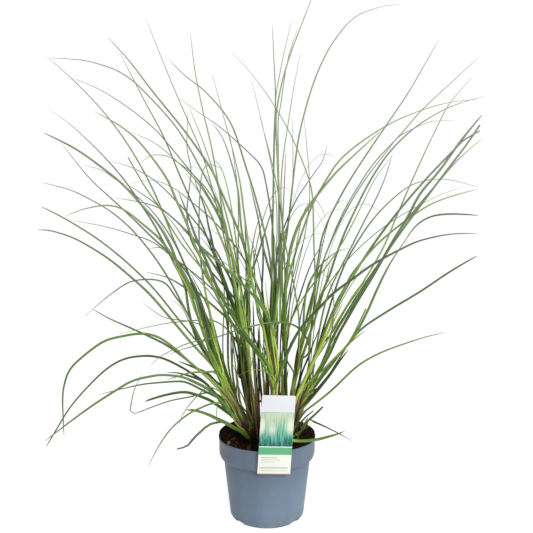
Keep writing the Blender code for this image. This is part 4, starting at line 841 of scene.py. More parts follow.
def pot_section():
    """Half of the pot's section, from the middle of its inner floor, over the rim and down."""
    foot = COLLAR_FOOT_HEIGHT
    inner = BASE_RADIUS - WALL - INNER_CORNER
    inner_collar = COLLAR_RADIUS - WALL
    points = [(0, FLOOR_THICKNESS), (inner * 0.5, FLOOR_THICKNESS)]
    points += arc(inner, FLOOR_THICKNESS + INNER_CORNER, INNER_CORNER, -90, -5, 8)
    points += [(COLLAR_FOOT_RADIUS - WALL - 0.6 * MM, foot + 1 * MM),
               (inner_collar - 3.2 * MM, foot + 7 * MM), (inner_collar - 0.9 * MM, foot + 12 * MM),
               (inner_collar, foot + COLLAR_FOOT_RISE)]
    # The rim: a flat lip with rounded edges, a little prouder than the collar below it.
    inside, outside, under = LIP_ROUNDS
    points += arc(inner_collar + inside, POT_HEIGHT - inside, inside, 180, 90, 4)
    points += arc(RIM_RADIUS - outside, POT_HEIGHT - outside, outside, 90, 0, 5)
    points += arc(RIM_RADIUS - under, POT_HEIGHT - LIP_HEIGHT + 0.1 * MM, under, 0, -70, 4)
    points.append((COLLAR_RADIUS, POT_HEIGHT - LIP_HEIGHT - 1.0 * MM))
    # The collar's foot: a quarter of an ellipse, which ends on a ledge over the wall.
    ledge = COLLAR_FOOT_RADIUS + LEDGE
    for i in range(13):
        angle = math.radians(90 * i / 12)
        points.append((ledge + (COLLAR_RADIUS - ledge) * math.cos(angle),
                       foot + COLLAR_FOOT_RISE * (1 - math.sin(angle))))
    wall_radius, wall_top = COLLAR_FOOT_RADIUS - UNDERCUT, foot - UNDERCUT_DROP
    points += [(COLLAR_FOOT_RADIUS, foot - 0.15 * MM), (COLLAR_FOOT_RADIUS - 0.5 * MM, foot - 0.9 * MM)]
    points += [(wall_radius + (BASE_RADIUS - wall_radius) * share,
                wall_top + (BASE_CORNER - wall_top) * share) for share in (0, 0.25, 0.5, 0.75)]
    points += arc(BASE_RADIUS - BASE_CORNER, BASE_CORNER, BASE_CORNER, 0, -90, 9)
    return points + [(30 * MM, 0), (0, 0)]


def spun(name, section, steps):
    """A closed shape turned on the Z axis: the section is extruded point by point, then spun."""
    deselect_all()
    bpy.ops.mesh.primitive_plane_add(size=MM, location=(section[0][0], 0, section[0][1]))
    shape = bpy.context.object
    shape.name = name
    apply_place()
    edit_all()
    bpy.ops.mesh.merge(type="CENTER")
    for (r_from, z_from), (r_to, z_to) in zip(section, section[1:]):
        step = (r_to - r_from, 0, z_to - z_from)
        bpy.ops.mesh.extrude_region_move(TRANSFORM_OT_translate={"value": step})
    bpy.ops.mesh.select_all(action="SELECT")
    bpy.ops.mesh.spin(steps=steps, angle=2 * math.pi, center=(0, 0, 0), axis=(0, 0, 1))
    bpy.ops.mesh.select_all(action="SELECT")
    bpy.ops.mesh.remove_doubles(threshold=0.00001)
    bpy.ops.mesh.normals_make_consistent(inside=False)
    stop_editing()
    return shape


def add_block(place, size):
    """A box at a place, given as a matrix, and of a size."""
    deselect_all()
    bpy.ops.mesh.primitive_cube_add(size=1)
    block = bpy.context.object
    block.matrix_world = place @ Matrix.Diagonal((*size, 1))
    apply_place()
    return block


def cut_away(obj, blocks):
    cutter = joined(blocks)
    apply_modifier(obj, "BOOLEAN", operation="DIFFERENCE", solver="EXACT", object=cutter)
    bpy.data.objects.remove(cutter, do_unlink=True)


def build_pot(settings):
    """The pot: a turned shell with a stepped collar, and drain slots cut through its base corner."""
    pot = spun("nursery_pot", pot_section(), settings.steps)
    diagonal = math.radians(45)
    corner = BASE_RADIUS - BASE_CORNER * (1 - math.cos(diagonal))
    height = BASE_CORNER * (1 - math.sin(diagonal))
    recesses = []
    slots = []
    pitch = DRAIN_GROUP_WIDTH / SLOTS_PER_GROUP
    for degrees in DRAIN_ANGLES:
        turn = Matrix.Rotation(math.radians(degrees), 4, "Z")
        tip = turn @ Matrix.Translation((corner, 0, height)) @ Matrix.Rotation(diagonal, 4, "Y")
        out = Matrix.Translation((6 * MM - DRAIN_RECESS, 0, 0))
        recesses.append(add_block(tip @ out, (12 * MM, DRAIN_GROUP_WIDTH, 26 * MM)))
        for k in range(SLOTS_PER_GROUP):
            along = (k - (SLOTS_PER_GROUP - 1) / 2) * pitch
            slots.append(add_block(tip @ Matrix.Translation((0, along, 0)), (14 * MM, SLOT_WIDTH, 7 * MM)))
    cut_away(pot, recesses)
    cut_away(pot, slots)
    pick(pot)
    bpy.ops.object.shade_smooth_by_angle(angle=math.radians(38))
    return finish_piece(pot, "nursery_pot", [pot_material(settings.colour)], ["pot"])


def front_share(x, y):
    """0 at the sides and the back of the pot, rising to 1 at its front."""
    facing = -y / max(math.hypot(x, y), MM)
    return min(1, max(0, facing * 1.5 - 0.1)) ** 0.7


def soil_radius(front):
    """The soil draws in from the rim's lip before it sinks below it."""
    return SOIL_SIDE_RADIUS + (SOIL_FRONT_RADIUS - SOIL_SIDE_RADIUS) * min(1, front / 0.45)


def soil_height(x, y):
    """The height of the soil's heap, with its broad lumps."""
    front = front_share(x, y)
    edge = SOIL_SIDE_EDGE + (SOIL_FRONT_EDGE - SOIL_SIDE_EDGE) * max(0, (front - 0.5) / 0.5)
    out = min(1, math.hypot(x, y) / soil_radius(front))
    lumps = noise.noise(Vector((x, y, 0)) / (13 * MM)) * SOIL_ROUGHNESS
    heap = (SOIL_CROWN - edge) * (1 - out ** 2.2) + SOIL_RISE_TO_BACK * y * (1 - out ** 4)
    return edge + heap + lumps * (1 - out ** 6)


def soil_surface(x, y):
    """The heap with the finer crumb pressed into it."""
    out = min(1, math.hypot(x, y) / soil_radius(front_share(x, y)))
    fine = noise.noise(Vector((x, y, 1)) / (6 * MM)) * 2.4 + noise.noise(Vector((x, y, 2)) / (2.6 * MM)) * 1.0
    return soil_height(x, y) + fine * MM * (1 - out ** 8)


def build_soil(settings):
    """The compost: a plug that fills the pot, its open top heaped up and crumbled."""
    plug = [(0, SOIL_FLOOR), (64 * MM, SOIL_FLOOR), (81 * MM, COLLAR_FOOT_HEIGHT),
            (90.2 * MM, COLLAR_FOOT_HEIGHT + 14 * MM), (SOIL_FRONT_RADIUS, POT_HEIGHT - 7 * MM)]
    neck = [(SOIL_FRONT_RADIUS + 0.1 * MM, SOIL_OVER_RIM), (SOIL_SIDE_RADIUS, SOIL_OVER_RIM + 0.1 * MM)]
    shares = [0.985] + [0.97 - 0.97 * i / TOP_RINGS for i in range(TOP_RINGS + 1)]
    top = [(SOIL_SIDE_RADIUS * share, SOIL_OVER_RIM + 1 * MM) for share in shares]
    soil = spun("compost", plug + neck + top, settings.steps)
    for vert in soil.data.vertices:
        x, y, z = vert.co
        radius = math.hypot(x, y)
        front = front_share(x, y)
        sink = max(0, (front - 0.5) / 0.5)
        if z > SOIL_OVER_RIM + 0.5 * MM:
            share = radius / SOIL_SIDE_RADIUS * soil_radius(front) / max(radius, MM)
            vert.co = (x * share, y * share, soil_surface(x * share, y * share))
        elif z > SOIL_OVER_RIM - 0.05 * MM:
            upper = z > SOIL_OVER_RIM + 0.05 * MM
            ragged = noise.noise(Vector((x, y, 0)) / (9 * MM)) * 0.8 * MM
            share = (soil_radius(front) + ragged * (1 - front) if upper else SOIL_FRONT_RADIUS) / radius
            drop = SOIL_OVER_RIM - SOIL_FRONT_EDGE + (1.5 if upper else 3) * MM
            vert.co = (x * share, y * share, SOIL_OVER_RIM - drop * sink)
    pick(soil)
    bpy.ops.object.shade_smooth()
    material = soil_material(settings.dark, settings.light)
    return finish_piece(soil, "compost", [material], ["soil"])


def scatter_place(dice):
    """A seeded point of the open soil."""
    while True:
        x = dice.uniform(-1, 1) * SOIL_SIDE_RADIUS
        y = dice.uniform(-1, 1) * SOIL_SIDE_RADIUS
        out = math.hypot(x, y) / soil_radius(front_share(x, y))
        if out < 0.975:
            return Vector((x, y, soil_surface(x, y)))


def model_crumb():
    """One crumb of peat, about 2 mm across and with only twenty faces."""
    deselect_all()
    bpy.ops.mesh.primitive_ico_sphere_add(subdivisions=1, radius=MM)
    return bpy.context.object


def model_chip():
    """One flake of bark, 10 mm long: a slab cut across and chamfered, with split ends."""
    deselect_all()
    bpy.ops.mesh.primitive_cube_add(size=1, scale=(10 * MM, 4 * MM, 1.6 * MM))
    chip = bpy.context.object
    apply_place()
    edit_all()
    bpy.ops.mesh.subdivide(number_cuts=1)
    bpy.ops.mesh.bevel(offset=0.3 * MM, segments=1, affect="EDGES")
    stop_editing()
    return chip


def scattered(template, name, spots, rough):
    """Copies of a modelled bit, each with a place, a size and a colour, made one mesh."""
    bm = bmesh.new()
    colours = bm.verts.layers.float_color.new(COLOUR_LAYER)
    for place, size, colour in spots:
        known = len(bm.verts)
        bm.from_mesh(template.data)
        bm.verts.ensure_lookup_table()
        shift = place.translation * 90
        for vert in bm.verts[known:]:
            own = vert.co * (1 + rough * noise.noise(vert.co / (1.5 * MM) + shift))
            vert.co = place @ Vector((own.x * size[0], own.y * size[1], own.z * size[2]))
            vert[colours] = (*colour, 1)
    mesh = bpy.data.meshes.new(name)
    bm.to_mesh(mesh)
    bm.free()
    bpy.data.objects.remove(template, do_unlink=True)
    piece = bpy.data.objects.new(name, mesh)
    bpy.context.collection.objects.link(piece)
    return piece


def lying(dice, place, tilt, sink):
    """A place turned any way round, tilted a little, and sunk in the soil."""
    turn = Matrix.Rotation(dice.uniform(0, 2 * math.pi), 4, "Z")
    lean = Matrix.Rotation(math.radians(dice.uniform(-tilt, tilt)), 4, "X")
    tip = Matrix.Rotation(math.radians(dice.uniform(-tilt, tilt)), 4, "Y")
    return Matrix.Translation(place - Vector((0, 0, sink))) @ turn @ lean @ tip


def build_litter(settings):
    """The loose crumbs and bark chips that lie on the soil."""
    dice = random.Random(LITTER_SEED)
    crumbs = []
    for _ in range(settings.crumbs):
        size = dice.uniform(0.6, 1.3) if dice.random() < 0.75 else dice.uniform(1.3, 2.8)
        spot = lying(dice, scatter_place(dice), 40, 0.15 * size * MM)
        colour = mixed(settings.dark, settings.light, dice.random() ** 1.8 * 1.1)
        crumbs.append((spot, (size, size * dice.uniform(0.7, 1), size * dice.uniform(0.6, 0.9)), colour))
    pieces = [scattered(model_crumb(), "compost_crumbs", crumbs, 0.5)]
    chips = []
    for x, y, length, hex_colour in LIGHT_CHIPS:
        spot = lying(dice, Vector((x * MM, y * MM, soil_surface(x * MM, y * MM))), 15, -0.3 * MM)
        chips.append((spot, (length / 10, length / 11, 1.1), linear(hex_colour)))
    for _ in range(settings.chips):
        length = dice.uniform(0.4, 1.3)
        spot = lying(dice, scatter_place(dice), 22, dice.uniform(0, 0.6) * MM)
        colour = mixed(linear("160e0a"), linear("6a472d"), dice.random() ** 2)
        chips.append((spot, (length, length * dice.uniform(0.6, 1.2), dice.uniform(0.6, 1.2)), colour))
    pieces.append(scattered(model_chip(), "bark_chips", chips, 0.6))
    for piece in pieces:
        finish_piece(piece, piece.name, [litter_material()])


def label_place():
    """The card's own axes: across, up and towards the viewer, with its middle as the origin."""
    across = LABEL_ACROSS
    up = (LABEL_UP - across * LABEL_UP.dot(across)).normalized()
    place = Matrix((across, up, across.cross(up))).transposed().to_4x4()
    place.translation = LABEL_MIDDLE
    return place


def build_label(settings):
    """The label: a die cut card with rounded corners, and the tongue that hooks it over the rim."""
    place = label_place()
    card = add_block(Matrix(), (LABEL_WIDTH, LABEL_HEIGHT, LABEL_THICKNESS))
    bm = bmesh.new()
    bm.from_mesh(card.data)
    for face in bm.faces:
        face.select_set(False)
    for edge in bm.edges:
        if abs(edge.verts[0].co.z - edge.verts[1].co.z) > LABEL_THICKNESS / 2:
            edge.select_set(True)
    bm.to_mesh(card.data)
    bm.free()
    pick(card)
    bpy.context.tool_settings.mesh_select_mode = (False, True, False)
    bpy.ops.object.mode_set(mode="EDIT")
    bpy.ops.mesh.bevel(offset=LABEL_CORNER, segments=8, affect="EDGES")
    stop_editing()
    bpy.context.tool_settings.mesh_select_mode = (True, False, False)
    apply_modifier(card, "BEVEL", width=LABEL_EDGE, segments=2, limit_method="ANGLE",
                   angle_limit=math.radians(50))
    face_outwards(card)

    deselect_all()
    bpy.ops.mesh.primitive_plane_add(size=1)
    tongue = bpy.context.object
    side = [curve_through(TONGUE_SIDE, i / 24) for i in range(25)]
    points = [(x, p.x * MM, p.y * MM) for p in side for x in (-TONGUE_WIDTH / 2, 0, TONGUE_WIDTH / 2)]
    corners = [3 * i + j for i in range(len(side) - 1) for j in range(2)]
    tongue.data.clear_geometry()
    tongue.data.from_pydata(points, [], [(k, k + 1, k + 4, k + 3) for k in corners])
    apply_modifier(tongue, "SOLIDIFY", thickness=LABEL_THICKNESS * 0.8, offset=0)
    face_outwards(tongue)
    apply_modifier(card, "BOOLEAN", operation="UNION", solver="EXACT", object=tongue)
    bpy.data.objects.remove(tongue, do_unlink=True)
    face_outwards(card)

    mesh = card.data
    front = []
    print_map = mesh.uv_layers.active or mesh.uv_layers.new(name="UVMap")
    for face in mesh.polygons:
        front.append(face.normal.z > 0.9 and face.center.z > 0)
        for corner in face.loop_indices:
            x, y, _ = mesh.vertices[mesh.loops[corner].vertex_index].co
            print_map.data[corner].uv = (x / LABEL_WIDTH + 0.5, y / LABEL_HEIGHT + 0.5)
    mesh.materials.clear()
    mesh.materials.append(card_material(settings.white))
    mesh.materials.append(print_material(settings.white, settings.panel, settings.band))
    for face, printed in zip(mesh.polygons, front):
        face.material_index = 1 if printed else 0
    mesh.transform(place)
    pick(card)
    bpy.ops.object.shade_smooth_by_angle(angle=math.radians(35))
    return finish_piece(card, "printed_label", (), ["plant_label"])


def leaf_colour(tone):
    """The leaf's colour for a tone from deep green (0) to yellow-green (1)."""
    grass = bpy.context.scene.pampas_grass
    stops = [(0.0, grass.deep), (0.33, grass.green), (0.62, grass.bright), (1.0, grass.young)]
    for (low, dark), (high, pale) in zip(stops, stops[1:]):
        if tone <= high:
            return mixed(dark, pale, (tone - low) / (high - low))
    return tuple(grass.young)


def shoot_row(shoot, z):
    """A shoot's middle, seen at height z: its place, its size there, and y on the axis plane."""
    size, y_foot, y_top, route = SHOOTS[shoot - 1]
    low = route[0][1]
    high = route[-1][1]
    share = min(1, max(0, (z - low) / (high - low)))
    y = y_foot + (y_top - y_foot) * share
    for (x_a, z_a), (x_b, z_b) in zip(route, route[1:]):
        if z <= z_b or (x_b, z_b) == route[-1]:
            x = x_a + (x_b - x_a) * (z - z_a) / (z_b - z_a)
            break
    return seen_from_front(x, z, y), size * (1 - 0.3 * share), y


def seen_x(shoot, z):
    """Where a shoot stands at height z on the upright plane through the pot's axis."""
    place, _, y = shoot_row(shoot, z)
    return place.x / MM * VIEW_DISTANCE / (VIEW_DISTANCE + y)


def layer_of(blades, number):
    """How many blades lie between this one and the face of its shoot: those that reach less far."""
    shoot, _, y_tip = blades[number - 1][:3]
    y_shoot = shoot_row(shoot, blades[number - 1][-1][0][1])[2]
    reach = y_tip - y_shoot
    inner = 0
    for other in blades:
        if other[0] == shoot:
            its_reach = other[2] - shoot_row(shoot, other[-1][0][1])[2]
            if its_reach * reach > 0 and abs(its_reach) < abs(reach):
                inner += 1
    return inner


def section_point(side, wrap, fold):
    """A point of the leaf's section, across it and out of its hollow face, for a half width of 1.
    The section curls by wrap towards each edge, and is folded along its middle by fold."""
    across = rise = 0
    for k in range(6):
        u = side * (k + 0.5) / 6
        angle = wrap * u + fold * min(1, max(-1, u * 5))
        across += math.cos(angle) * side / 6
        rise += math.sin(angle) * side / 6
    return across, rise


def strip(name, rows, columns, thickness):
    """A leaf or sheath. Each row gives its place, its half width, how far it curls and is folded in
    radians, where its hollow face looks, and its colour."""
    deselect_all()
    bpy.ops.mesh.primitive_grid_add(x_subdivisions=columns, y_subdivisions=len(rows) - 1, size=1)
    piece = bpy.context.object
    piece.name = name
    mesh = piece.data
    colours = mesh.attributes.new(COLOUR_LAYER, "FLOAT_COLOR", "POINT")
    frames = []
    for i, row in enumerate(rows):
        along = (rows[min(i + 1, len(rows) - 1)][0] - rows[max(i - 1, 0)][0]).normalized()
        face = (row[4] - along * row[4].dot(along)).normalized()
        frames.append((along.cross(face), face))
    for vert in mesh.vertices:
        side = vert.co.x * 2
        i = min(len(rows) - 1, max(0, round((vert.co.y + 0.5) * (len(rows) - 1))))
        place, half_width, wrap, fold, _, colour = rows[i]
        across, face = frames[i]
        out, rise = section_point(side, wrap, fold)
        vert.co = place + (across * out + face * rise) * half_width
        colours.data[vert.index].color = (*colour, 1)
    apply_modifier(piece, "SOLIDIFY", thickness=thickness, offset=0, use_rim=True)
    bpy.ops.object.shade_smooth_by_angle(angle=math.radians(60))
    return piece


def blade_width(share, ending="drawn out"):
    """1 at the widest, a little less at the foot, and less towards the tip as its ending says."""
    foot = 0.72 + 0.28 * min(1, share / 0.10)
    if ending == "cut":
        return foot * (1 - 0.35 * share)
    if ending in ("broad", "turned"):
        edge_on = 0.55 * math.exp(-((share - 0.70) / 0.12) ** 2) if ending == "turned" else 0
        return foot * (1 - 0.28 * share - edge_on) * max(0.05, 1 - share ** 24) ** 0.5
    return foot * max(0.0004, 1 - share) ** {"slim": 0.8, "long": 0.40}.get(ending, 0.50)


def bezier(ends, share):
    """A point of the Bezier curve with these four control points."""
    a, b, c, d = ends
    rest = 1 - share
    return a * rest ** 3 + b * 3 * share * rest ** 2 + c * 3 * share * share * rest + d * share ** 3


def blade_line(entry, layer):
    """The middle line of a blade: up its shoot as a sheath, off its face, and out to its tip.
    Also the share of it that is sheath, which is 0 where it starts high up."""
    shoot, half_width, y_tip = entry[:3]
    size, _, _, shoot_route = SHOOTS[shoot - 1]
    route = [Vector(p) for p in entry[-1]]
    start = route[0]
    top = shoot_route[-1][1] + SHEATH_STEP
    y_shoot = shoot_row(shoot, min(start.y, top))[2]
    side = 1 if y_tip > y_shoot else -1
    stand_off = SHEATH_RADIUS * size + 0.3 * half_width + LEAF_LAYER * layer
    y_foot = y_shoot + side * stand_off
    gap = abs(start.x - seen_x(shoot, min(start.y, top)))
    if start.y > top or gap > LED_DOWN_GAP:
        # It starts high up or away from its shoot, so it is led down to it on a smooth curve.
        foot = shoot_row(shoot, max(shoot_route[0][1], min(shoot_route[-1][1], start.y - 1.3 * gap)))[0]
        share = (VIEW_DISTANCE + y_foot) / VIEW_DISTANCE
        low = Vector((foot.x / MM / share, (foot.z / MM - VIEW_HEIGHT) / share + VIEW_HEIGHT))
        heading = (route[1] - route[0]).normalized()
        reach = (start - low).length
        rising = (Vector(shoot_route[-1]) - Vector(shoot_route[-2])).normalized()
        bend = [low, low + rising * reach * 0.35, start - heading * reach * 0.35, start]
        route = [bezier(bend, i / 7) for i in range(7)] + route
        start = route[0]
    places = []
    blade = evenly_along(route, 30)
    for i, point in enumerate(blade):
        share = (i / (len(blade) - 1)) ** DEPTH_BEND
        places.append(seen_from_front(point.x, point.y, y_foot + (y_tip - y_foot) * share))
    length = sum((b - a).length for a, b in zip(places, places[1:]))
    low = max(shoot_route[0][1] - 2, start.y - SHEATH_LENGTH)
    sheath = []
    leaning = 1 if route[min(2, len(route) - 1)].x > start.x else -1
    count = int((start.y - low) / SHEATH_STEP)
    end, size, _ = shoot_row(shoot, start.y)
    bend_away = places[0].x - end.x - leaning * 1.5 * size * MM
    for i in range(count):
        place, size, _ = shoot_row(shoot, low + (start.y - low) * i / count)
        out = side * (FOOT_ROLL * size + LEAF_LAYER * layer) * MM
        aside = leaning * 1.5 * size * i / count * MM + bend_away * smooth_step(0.1, 1.05, i / count)
        sheath.append(place + Vector((aside, out, 0)))
    line = sheath + places
    sheath_length = sum((b - a).length for a, b in zip(line, line[1:])) - length if sheath else 0
    total = length + sheath_length
    return line, sheath_length / total, total, side


def blade_rows(entry, layer, seed, width_share, ending="drawn out"):
    """The rows of a blade's strip, from its sheath's foot to its tip."""
    grass = bpy.context.scene.pampas_grass
    dice = random.Random(seed)
    shoot, half_width, _ = entry[:3]
    turn, tone = (entry[3], entry[4]) if len(entry) == 6 else (dice.uniform(22, 58), entry[3])
    tone = max(0, tone + dice.uniform(-0.16, 0.20))
    glow = dice.uniform(0.12, 0.42)
    line, sheath_share, total, side = blade_line(entry, layer)
    count = max(10, min(60, int(total / (ROW_LENGTH * MM))))
    points = evenly_along(line, count + 1)
    size = SHOOTS[shoot - 1][0]
    phase = dice.uniform(0, 2 * math.pi)
    lean = dice.uniform(-10, 10)
    ripe = dice.random()
    rows = []
    for i, place in enumerate(points):
        s = i / count
        blade = (s - sheath_share) / (1 - sheath_share)
        # Below the blade its sheath is rolled round the shoot, and above it opens and is folded
        # along its midrib, flatter towards the tip.
        open_share = smooth_step(-0.02, 0.05, blade)
        wide = width_share * half_width * blade_width(max(0, blade), ending) * MM
        rolled = (FOOT_ROLL * size + 0.2 * LEAF_LAYER * layer) * MM if sheath_share > 0 else wide
        width = rolled + (wide - rolled) * open_share
        wrap = 1.1 - 0.85 * open_share
        fold = (0.66 - 0.26 * max(0, blade)) * open_share
        angle = math.radians(turn * max(0, blade) + (lean + 7 * math.sin(7 * s + phase)) * open_share)
        face = Vector((0, -side * math.cos(angle), math.sin(angle)))
        # It is brightest where it opens, its sheath is red-brown, the wax's grey with a painted sheen greys
        # what stands high, and the tip is dry.
        shade = tone + glow * (1 - smooth_step(0, 0.20, blade)) - 0.05 * smooth_step(0.4, 0.9, blade)
        shade += 0.05 * math.sin(5 * s + phase)
        colour = leaf_colour(max(0, shade))
        if sheath_share > 0:
            down = -blade * (1 - sheath_share) / sheath_share
            worn = mixed(grass.foot, grass.sheath, smooth_step(1.0, 0.45, down) * (0.5 + 0.5 * ripe))
            colour = mixed(colour, worn, smooth_step(0, 0.45, down))
        # Painted sheen, with the wax's own grey: the upper blades are greyed by their height.
        colour = mixed(colour, grass.wax_and_sheen, 0.55 * smooth_step(0.34, 0.72, place.z))
        dry = smooth_step(0.93, 1.0, blade) * (0.7 if ending == "drawn out" else 0.0)
        colour = mixed(colour, grass.dry, dry)
        rows.append((place, width, wrap, fold, face, colour))
    return rows


def build_shoot(number):
    """A shoot: a rolled core of young sheaths and the older ones that peel off round it."""
    grass = bpy.context.scene.pampas_grass
    dice = random.Random(SHOOT_SEED + number)
    route = SHOOTS[number - 1][3]
    low = route[0][1]
    high = route[-1][1]
    base = shoot_row(number, low)[0]
    sunk = base.z - soil_height(base.x, base.y) + 5 * MM
    # The thick shoots are pale at the top, and the slender ones from near black to yellow-green.
    top_tone = 0.75 if number <= SOLID_SHOOTS else dice.choice((0.0, 0.0, 0.3, 0.55, 0.8))
    ripe = 1.0 if number <= SOLID_SHOOTS else dice.uniform(0, 0.8)
    pieces = []
    rows = []
    steps = 22
    for i in range(steps + 1):
        s = i / steps
        place, width, _ = shoot_row(number, low + (high - low) * s)
        if i == 0:
            place = place - Vector((0, 0, sunk))
        out = CORE_RADIUS * width * (1 - 0.75 * smooth_step(0.86, 1.0, s)) * MM
        colour = mixed(grass.foot, grass.sheath, smooth_step(0.05, 0.5, s) * ripe)
        colour = mixed(colour, leaf_colour(top_tone), smooth_step(0.35, 0.8, s))
        rows.append((place + Vector((0, out, 0)), out * math.pi, math.pi, 0, Vector((0, -1, 0)), colour))
    pieces.append(strip(f"shoot_core_{number:02d}", rows, 16, 0.5 * MM))
    for k in range(3):
        around = 2 * math.pi * k / 3 + dice.uniform(-0.5, 0.5)
        reach = dice.uniform(0.35, 0.8)
        outward = Vector((math.cos(around), math.sin(around), 0))
        old = dice.random()
        rows = []
        steps = 16
        for i in range(steps + 1):
            s = i / steps
            place, width, _ = shoot_row(number, low + (high - low) * reach * s)
            if i == 0:
                place = place - Vector((0, 0, sunk))
            radius = (SHEATH_RADIUS + 0.35 * k) * width * MM
            peel = 2.5 * MM * smooth_step(0.6, 1.0, s) * dice.uniform(0.9, 1.1)
            narrow = 1 - smooth_step(0.55, 1.0, s) ** 1.3
            husk = mixed(grass.sheath, grass.straw, old ** 3)
            colour = mixed(grass.foot, husk, (0.2 + 0.5 * s) * (0.4 + 0.6 * ripe))
            colour = mixed(colour, leaf_colour(top_tone), (1 - 0.6 * old) * smooth_step(0.3, 0.9, s))
            rows.append((place + outward * (radius + peel), radius * 1.35 * max(0.06, narrow), 1.35, 0,
                         -outward, colour))
        pieces.append(strip(f"shoot_sheath_{number:02d}_{k}", rows, 8, 0.4 * MM))
    piece = joined(pieces)
    nodes = [f"shoot_{number:02d}"] if number <= SOLID_SHOOTS else []
    return finish_piece(piece, f"sheaths_{number:02d}", [sheath_cover()], nodes)


def sheath_cover():
    """The material that all sheaths share: deeply veined, and with no midrib."""
    known = bpy.data.materials.get("ribbed leaf sheath")
    return known or leaf_material("ribbed leaf sheath", 0.62, 15, 0.16, 0.0)


def leaf_cover():
    """The material that all blades share."""
    known = bpy.data.materials.get("waxy grass leaf")
    return known or leaf_material("waxy grass leaf", bpy.context.scene.pampas_grass.roughness, 11, 0.07, 0.22)


def build_main_blade(number):
    """A main blade, which stands for the solid leaf of the same number."""
    grass = bpy.context.scene.pampas_grass
    ending = next((name for name, blades in MAIN_ENDINGS.items() if number in blades), "drawn out")
    layer = layer_of(MAIN_BLADES, number)
    rows = blade_rows(MAIN_BLADES[number - 1], layer, MAIN_SEED + number, MAIN_WIDTH, ending)
    piece = strip(f"blade_{number:02d}", rows, 6, grass.thickness)
    return finish_piece(piece, piece.name, [leaf_cover()], [f"leaf_{number:02d}"])


def build_fine_blades(shoot):
    """The finer blades of one shoot, as one piece."""
    grass = bpy.context.scene.pampas_grass
    pieces = []
    for number, entry in enumerate(FINE_BLADES, 1):
        if entry[0] == shoot:
            ending = "cut" if number in CUT_BLADES else "drawn out"
            share = FINE_WIDTH if entry[1] < 3 else WIDER_FINE
            rows = blade_rows(entry, 1 + number % 4, FINE_SEED + number, share, ending)
            pieces.append(strip(f"fine_{number:02d}", rows, 4, 0.8 * grass.thickness))
    pieces += inner_blades(shoot)
    return finish_piece(joined(pieces), f"fine_blades_{shoot:02d}", [leaf_cover()])


def inner_blades(shoot):
    """The short blades that fill a shoot's heart, dark and bright by turns."""
    grass = bpy.context.scene.pampas_grass
    dice = random.Random(HEART_SEED + shoot)
    size, _, _, route = SHOOTS[shoot - 1]
    top = route[-1][1]
    pieces = []
    for k in range(0 if shoot == OUTER_SHOOT else grass.inner_blades if shoot <= SOLID_SHOOTS else 1):
        z = top - dice.uniform(5, 110)
        foot, _, _ = shoot_row(shoot, z)
        rising = (shoot_row(shoot, z + 5)[0] - shoot_row(shoot, z - 25)[0]).normalized()
        heading = math.radians(dice.choice((-90, 90)) + dice.uniform(-55, 55))
        outward = Vector((math.cos(heading), math.sin(heading), 0))
        length = dice.uniform(0.4, 1.0) * min(HEART_TOP - z, 110) * MM
        spread = length * dice.uniform(0.03, 0.20)
        foot = foot + outward * 1.8 * size * MM
        bend = [foot, foot + rising * length * 0.4, foot + rising * length * 0.75 + outward * spread * 0.4,
                foot + rising * length + outward * spread - Vector((0, 0, spread * dice.uniform(0, 0.8)))]
        points = evenly_along([bezier(bend, i / 12) for i in range(13)], 21)
        half_width = dice.uniform(1.7, 2.8) * MM
        tone = dice.choice((0.02, 0.05, 0.20, 0.35, 0.55, 0.75)) + dice.uniform(0, 0.08)
        twist = dice.uniform(-0.8, 0.8)
        side = Vector((-outward.y, outward.x, 0))
        rows = []
        for i, place in enumerate(points):
            s = i / 20
            face = -outward + side * math.sin(twist * s) + Vector((0, 0, 0.4 * s))
            colour = leaf_colour(tone + 0.25 * (1 - smooth_step(0, 0.3, s)))
            rows.append((place, half_width * blade_width(s), 0.3, 0.6 - 0.2 * s, face, colour))
        pieces.append(strip(f"inner_{shoot:02d}_{k}", rows, 4, 0.8 * grass.thickness))
    return pieces


def build_back_blades():
    """Blades out to the sides and the back of the clump."""
    grass = bpy.context.scene.pampas_grass
    dice = random.Random(BACK_SEED)
    pieces = []
    for k in range(grass.back_blades):
        shoot = BACK_SHOOTS[k % len(BACK_SHOOTS)]
        top = SHOOTS[shoot - 1][3][-1][1]
        z = top - dice.uniform(8, 60)
        foot = shoot_row(shoot, z)[0]
        heading = math.radians(90 + dice.choice((-1, 1)) * dice.uniform(20, 75))
        outward = Vector((math.cos(heading), math.sin(heading), 0))
        reach = dice.uniform(*BACK_REACH) * MM
        height = dice.uniform(*BACK_HEIGHT) * MM
        droop = dice.uniform(0.0, 0.28)
        foot = foot + outward * 3 * MM
        bend = [foot, foot + Vector((0, 0, height * 0.55)) + outward * reach * 0.10,
                foot + Vector((0, 0, height * 1.05)) + outward * reach * 0.45,
                foot + Vector((0, 0, height * (1.0 - droop))) + outward * reach]
        count = 40
        points = evenly_along([bezier(bend, i / 24) for i in range(25)], count + 1)
        half_width = dice.uniform(1.2, 2.0) * MM
        tone = dice.uniform(0.15, 0.45)
        twist = math.radians(dice.uniform(-60, 60))
        side = Vector((-outward.y, outward.x, 0)) * (1 if dice.random() < 0.5 else -1)
        rows = []
        for i, place in enumerate(points):
            s = i / count
            bow = 1.4 * s
            face = -outward * math.cos(bow) + Vector((0, 0, math.sin(bow))) + side * math.sin(twist * s)
            colour = leaf_colour(tone + 0.3 * (1 - smooth_step(0, 0.2, s)))
            colour = mixed(colour, grass.dry, 0.7 * smooth_step(0.93, 1.0, s))
            rows.append((place, half_width * blade_width(s), 0.25, 0.45 - 0.2 * s, face, colour))
        pieces.append(strip(f"back_{k:02d}", rows, 4, 0.8 * grass.thickness))
    return finish_piece(joined(pieces), "back_blades", [leaf_cover()])


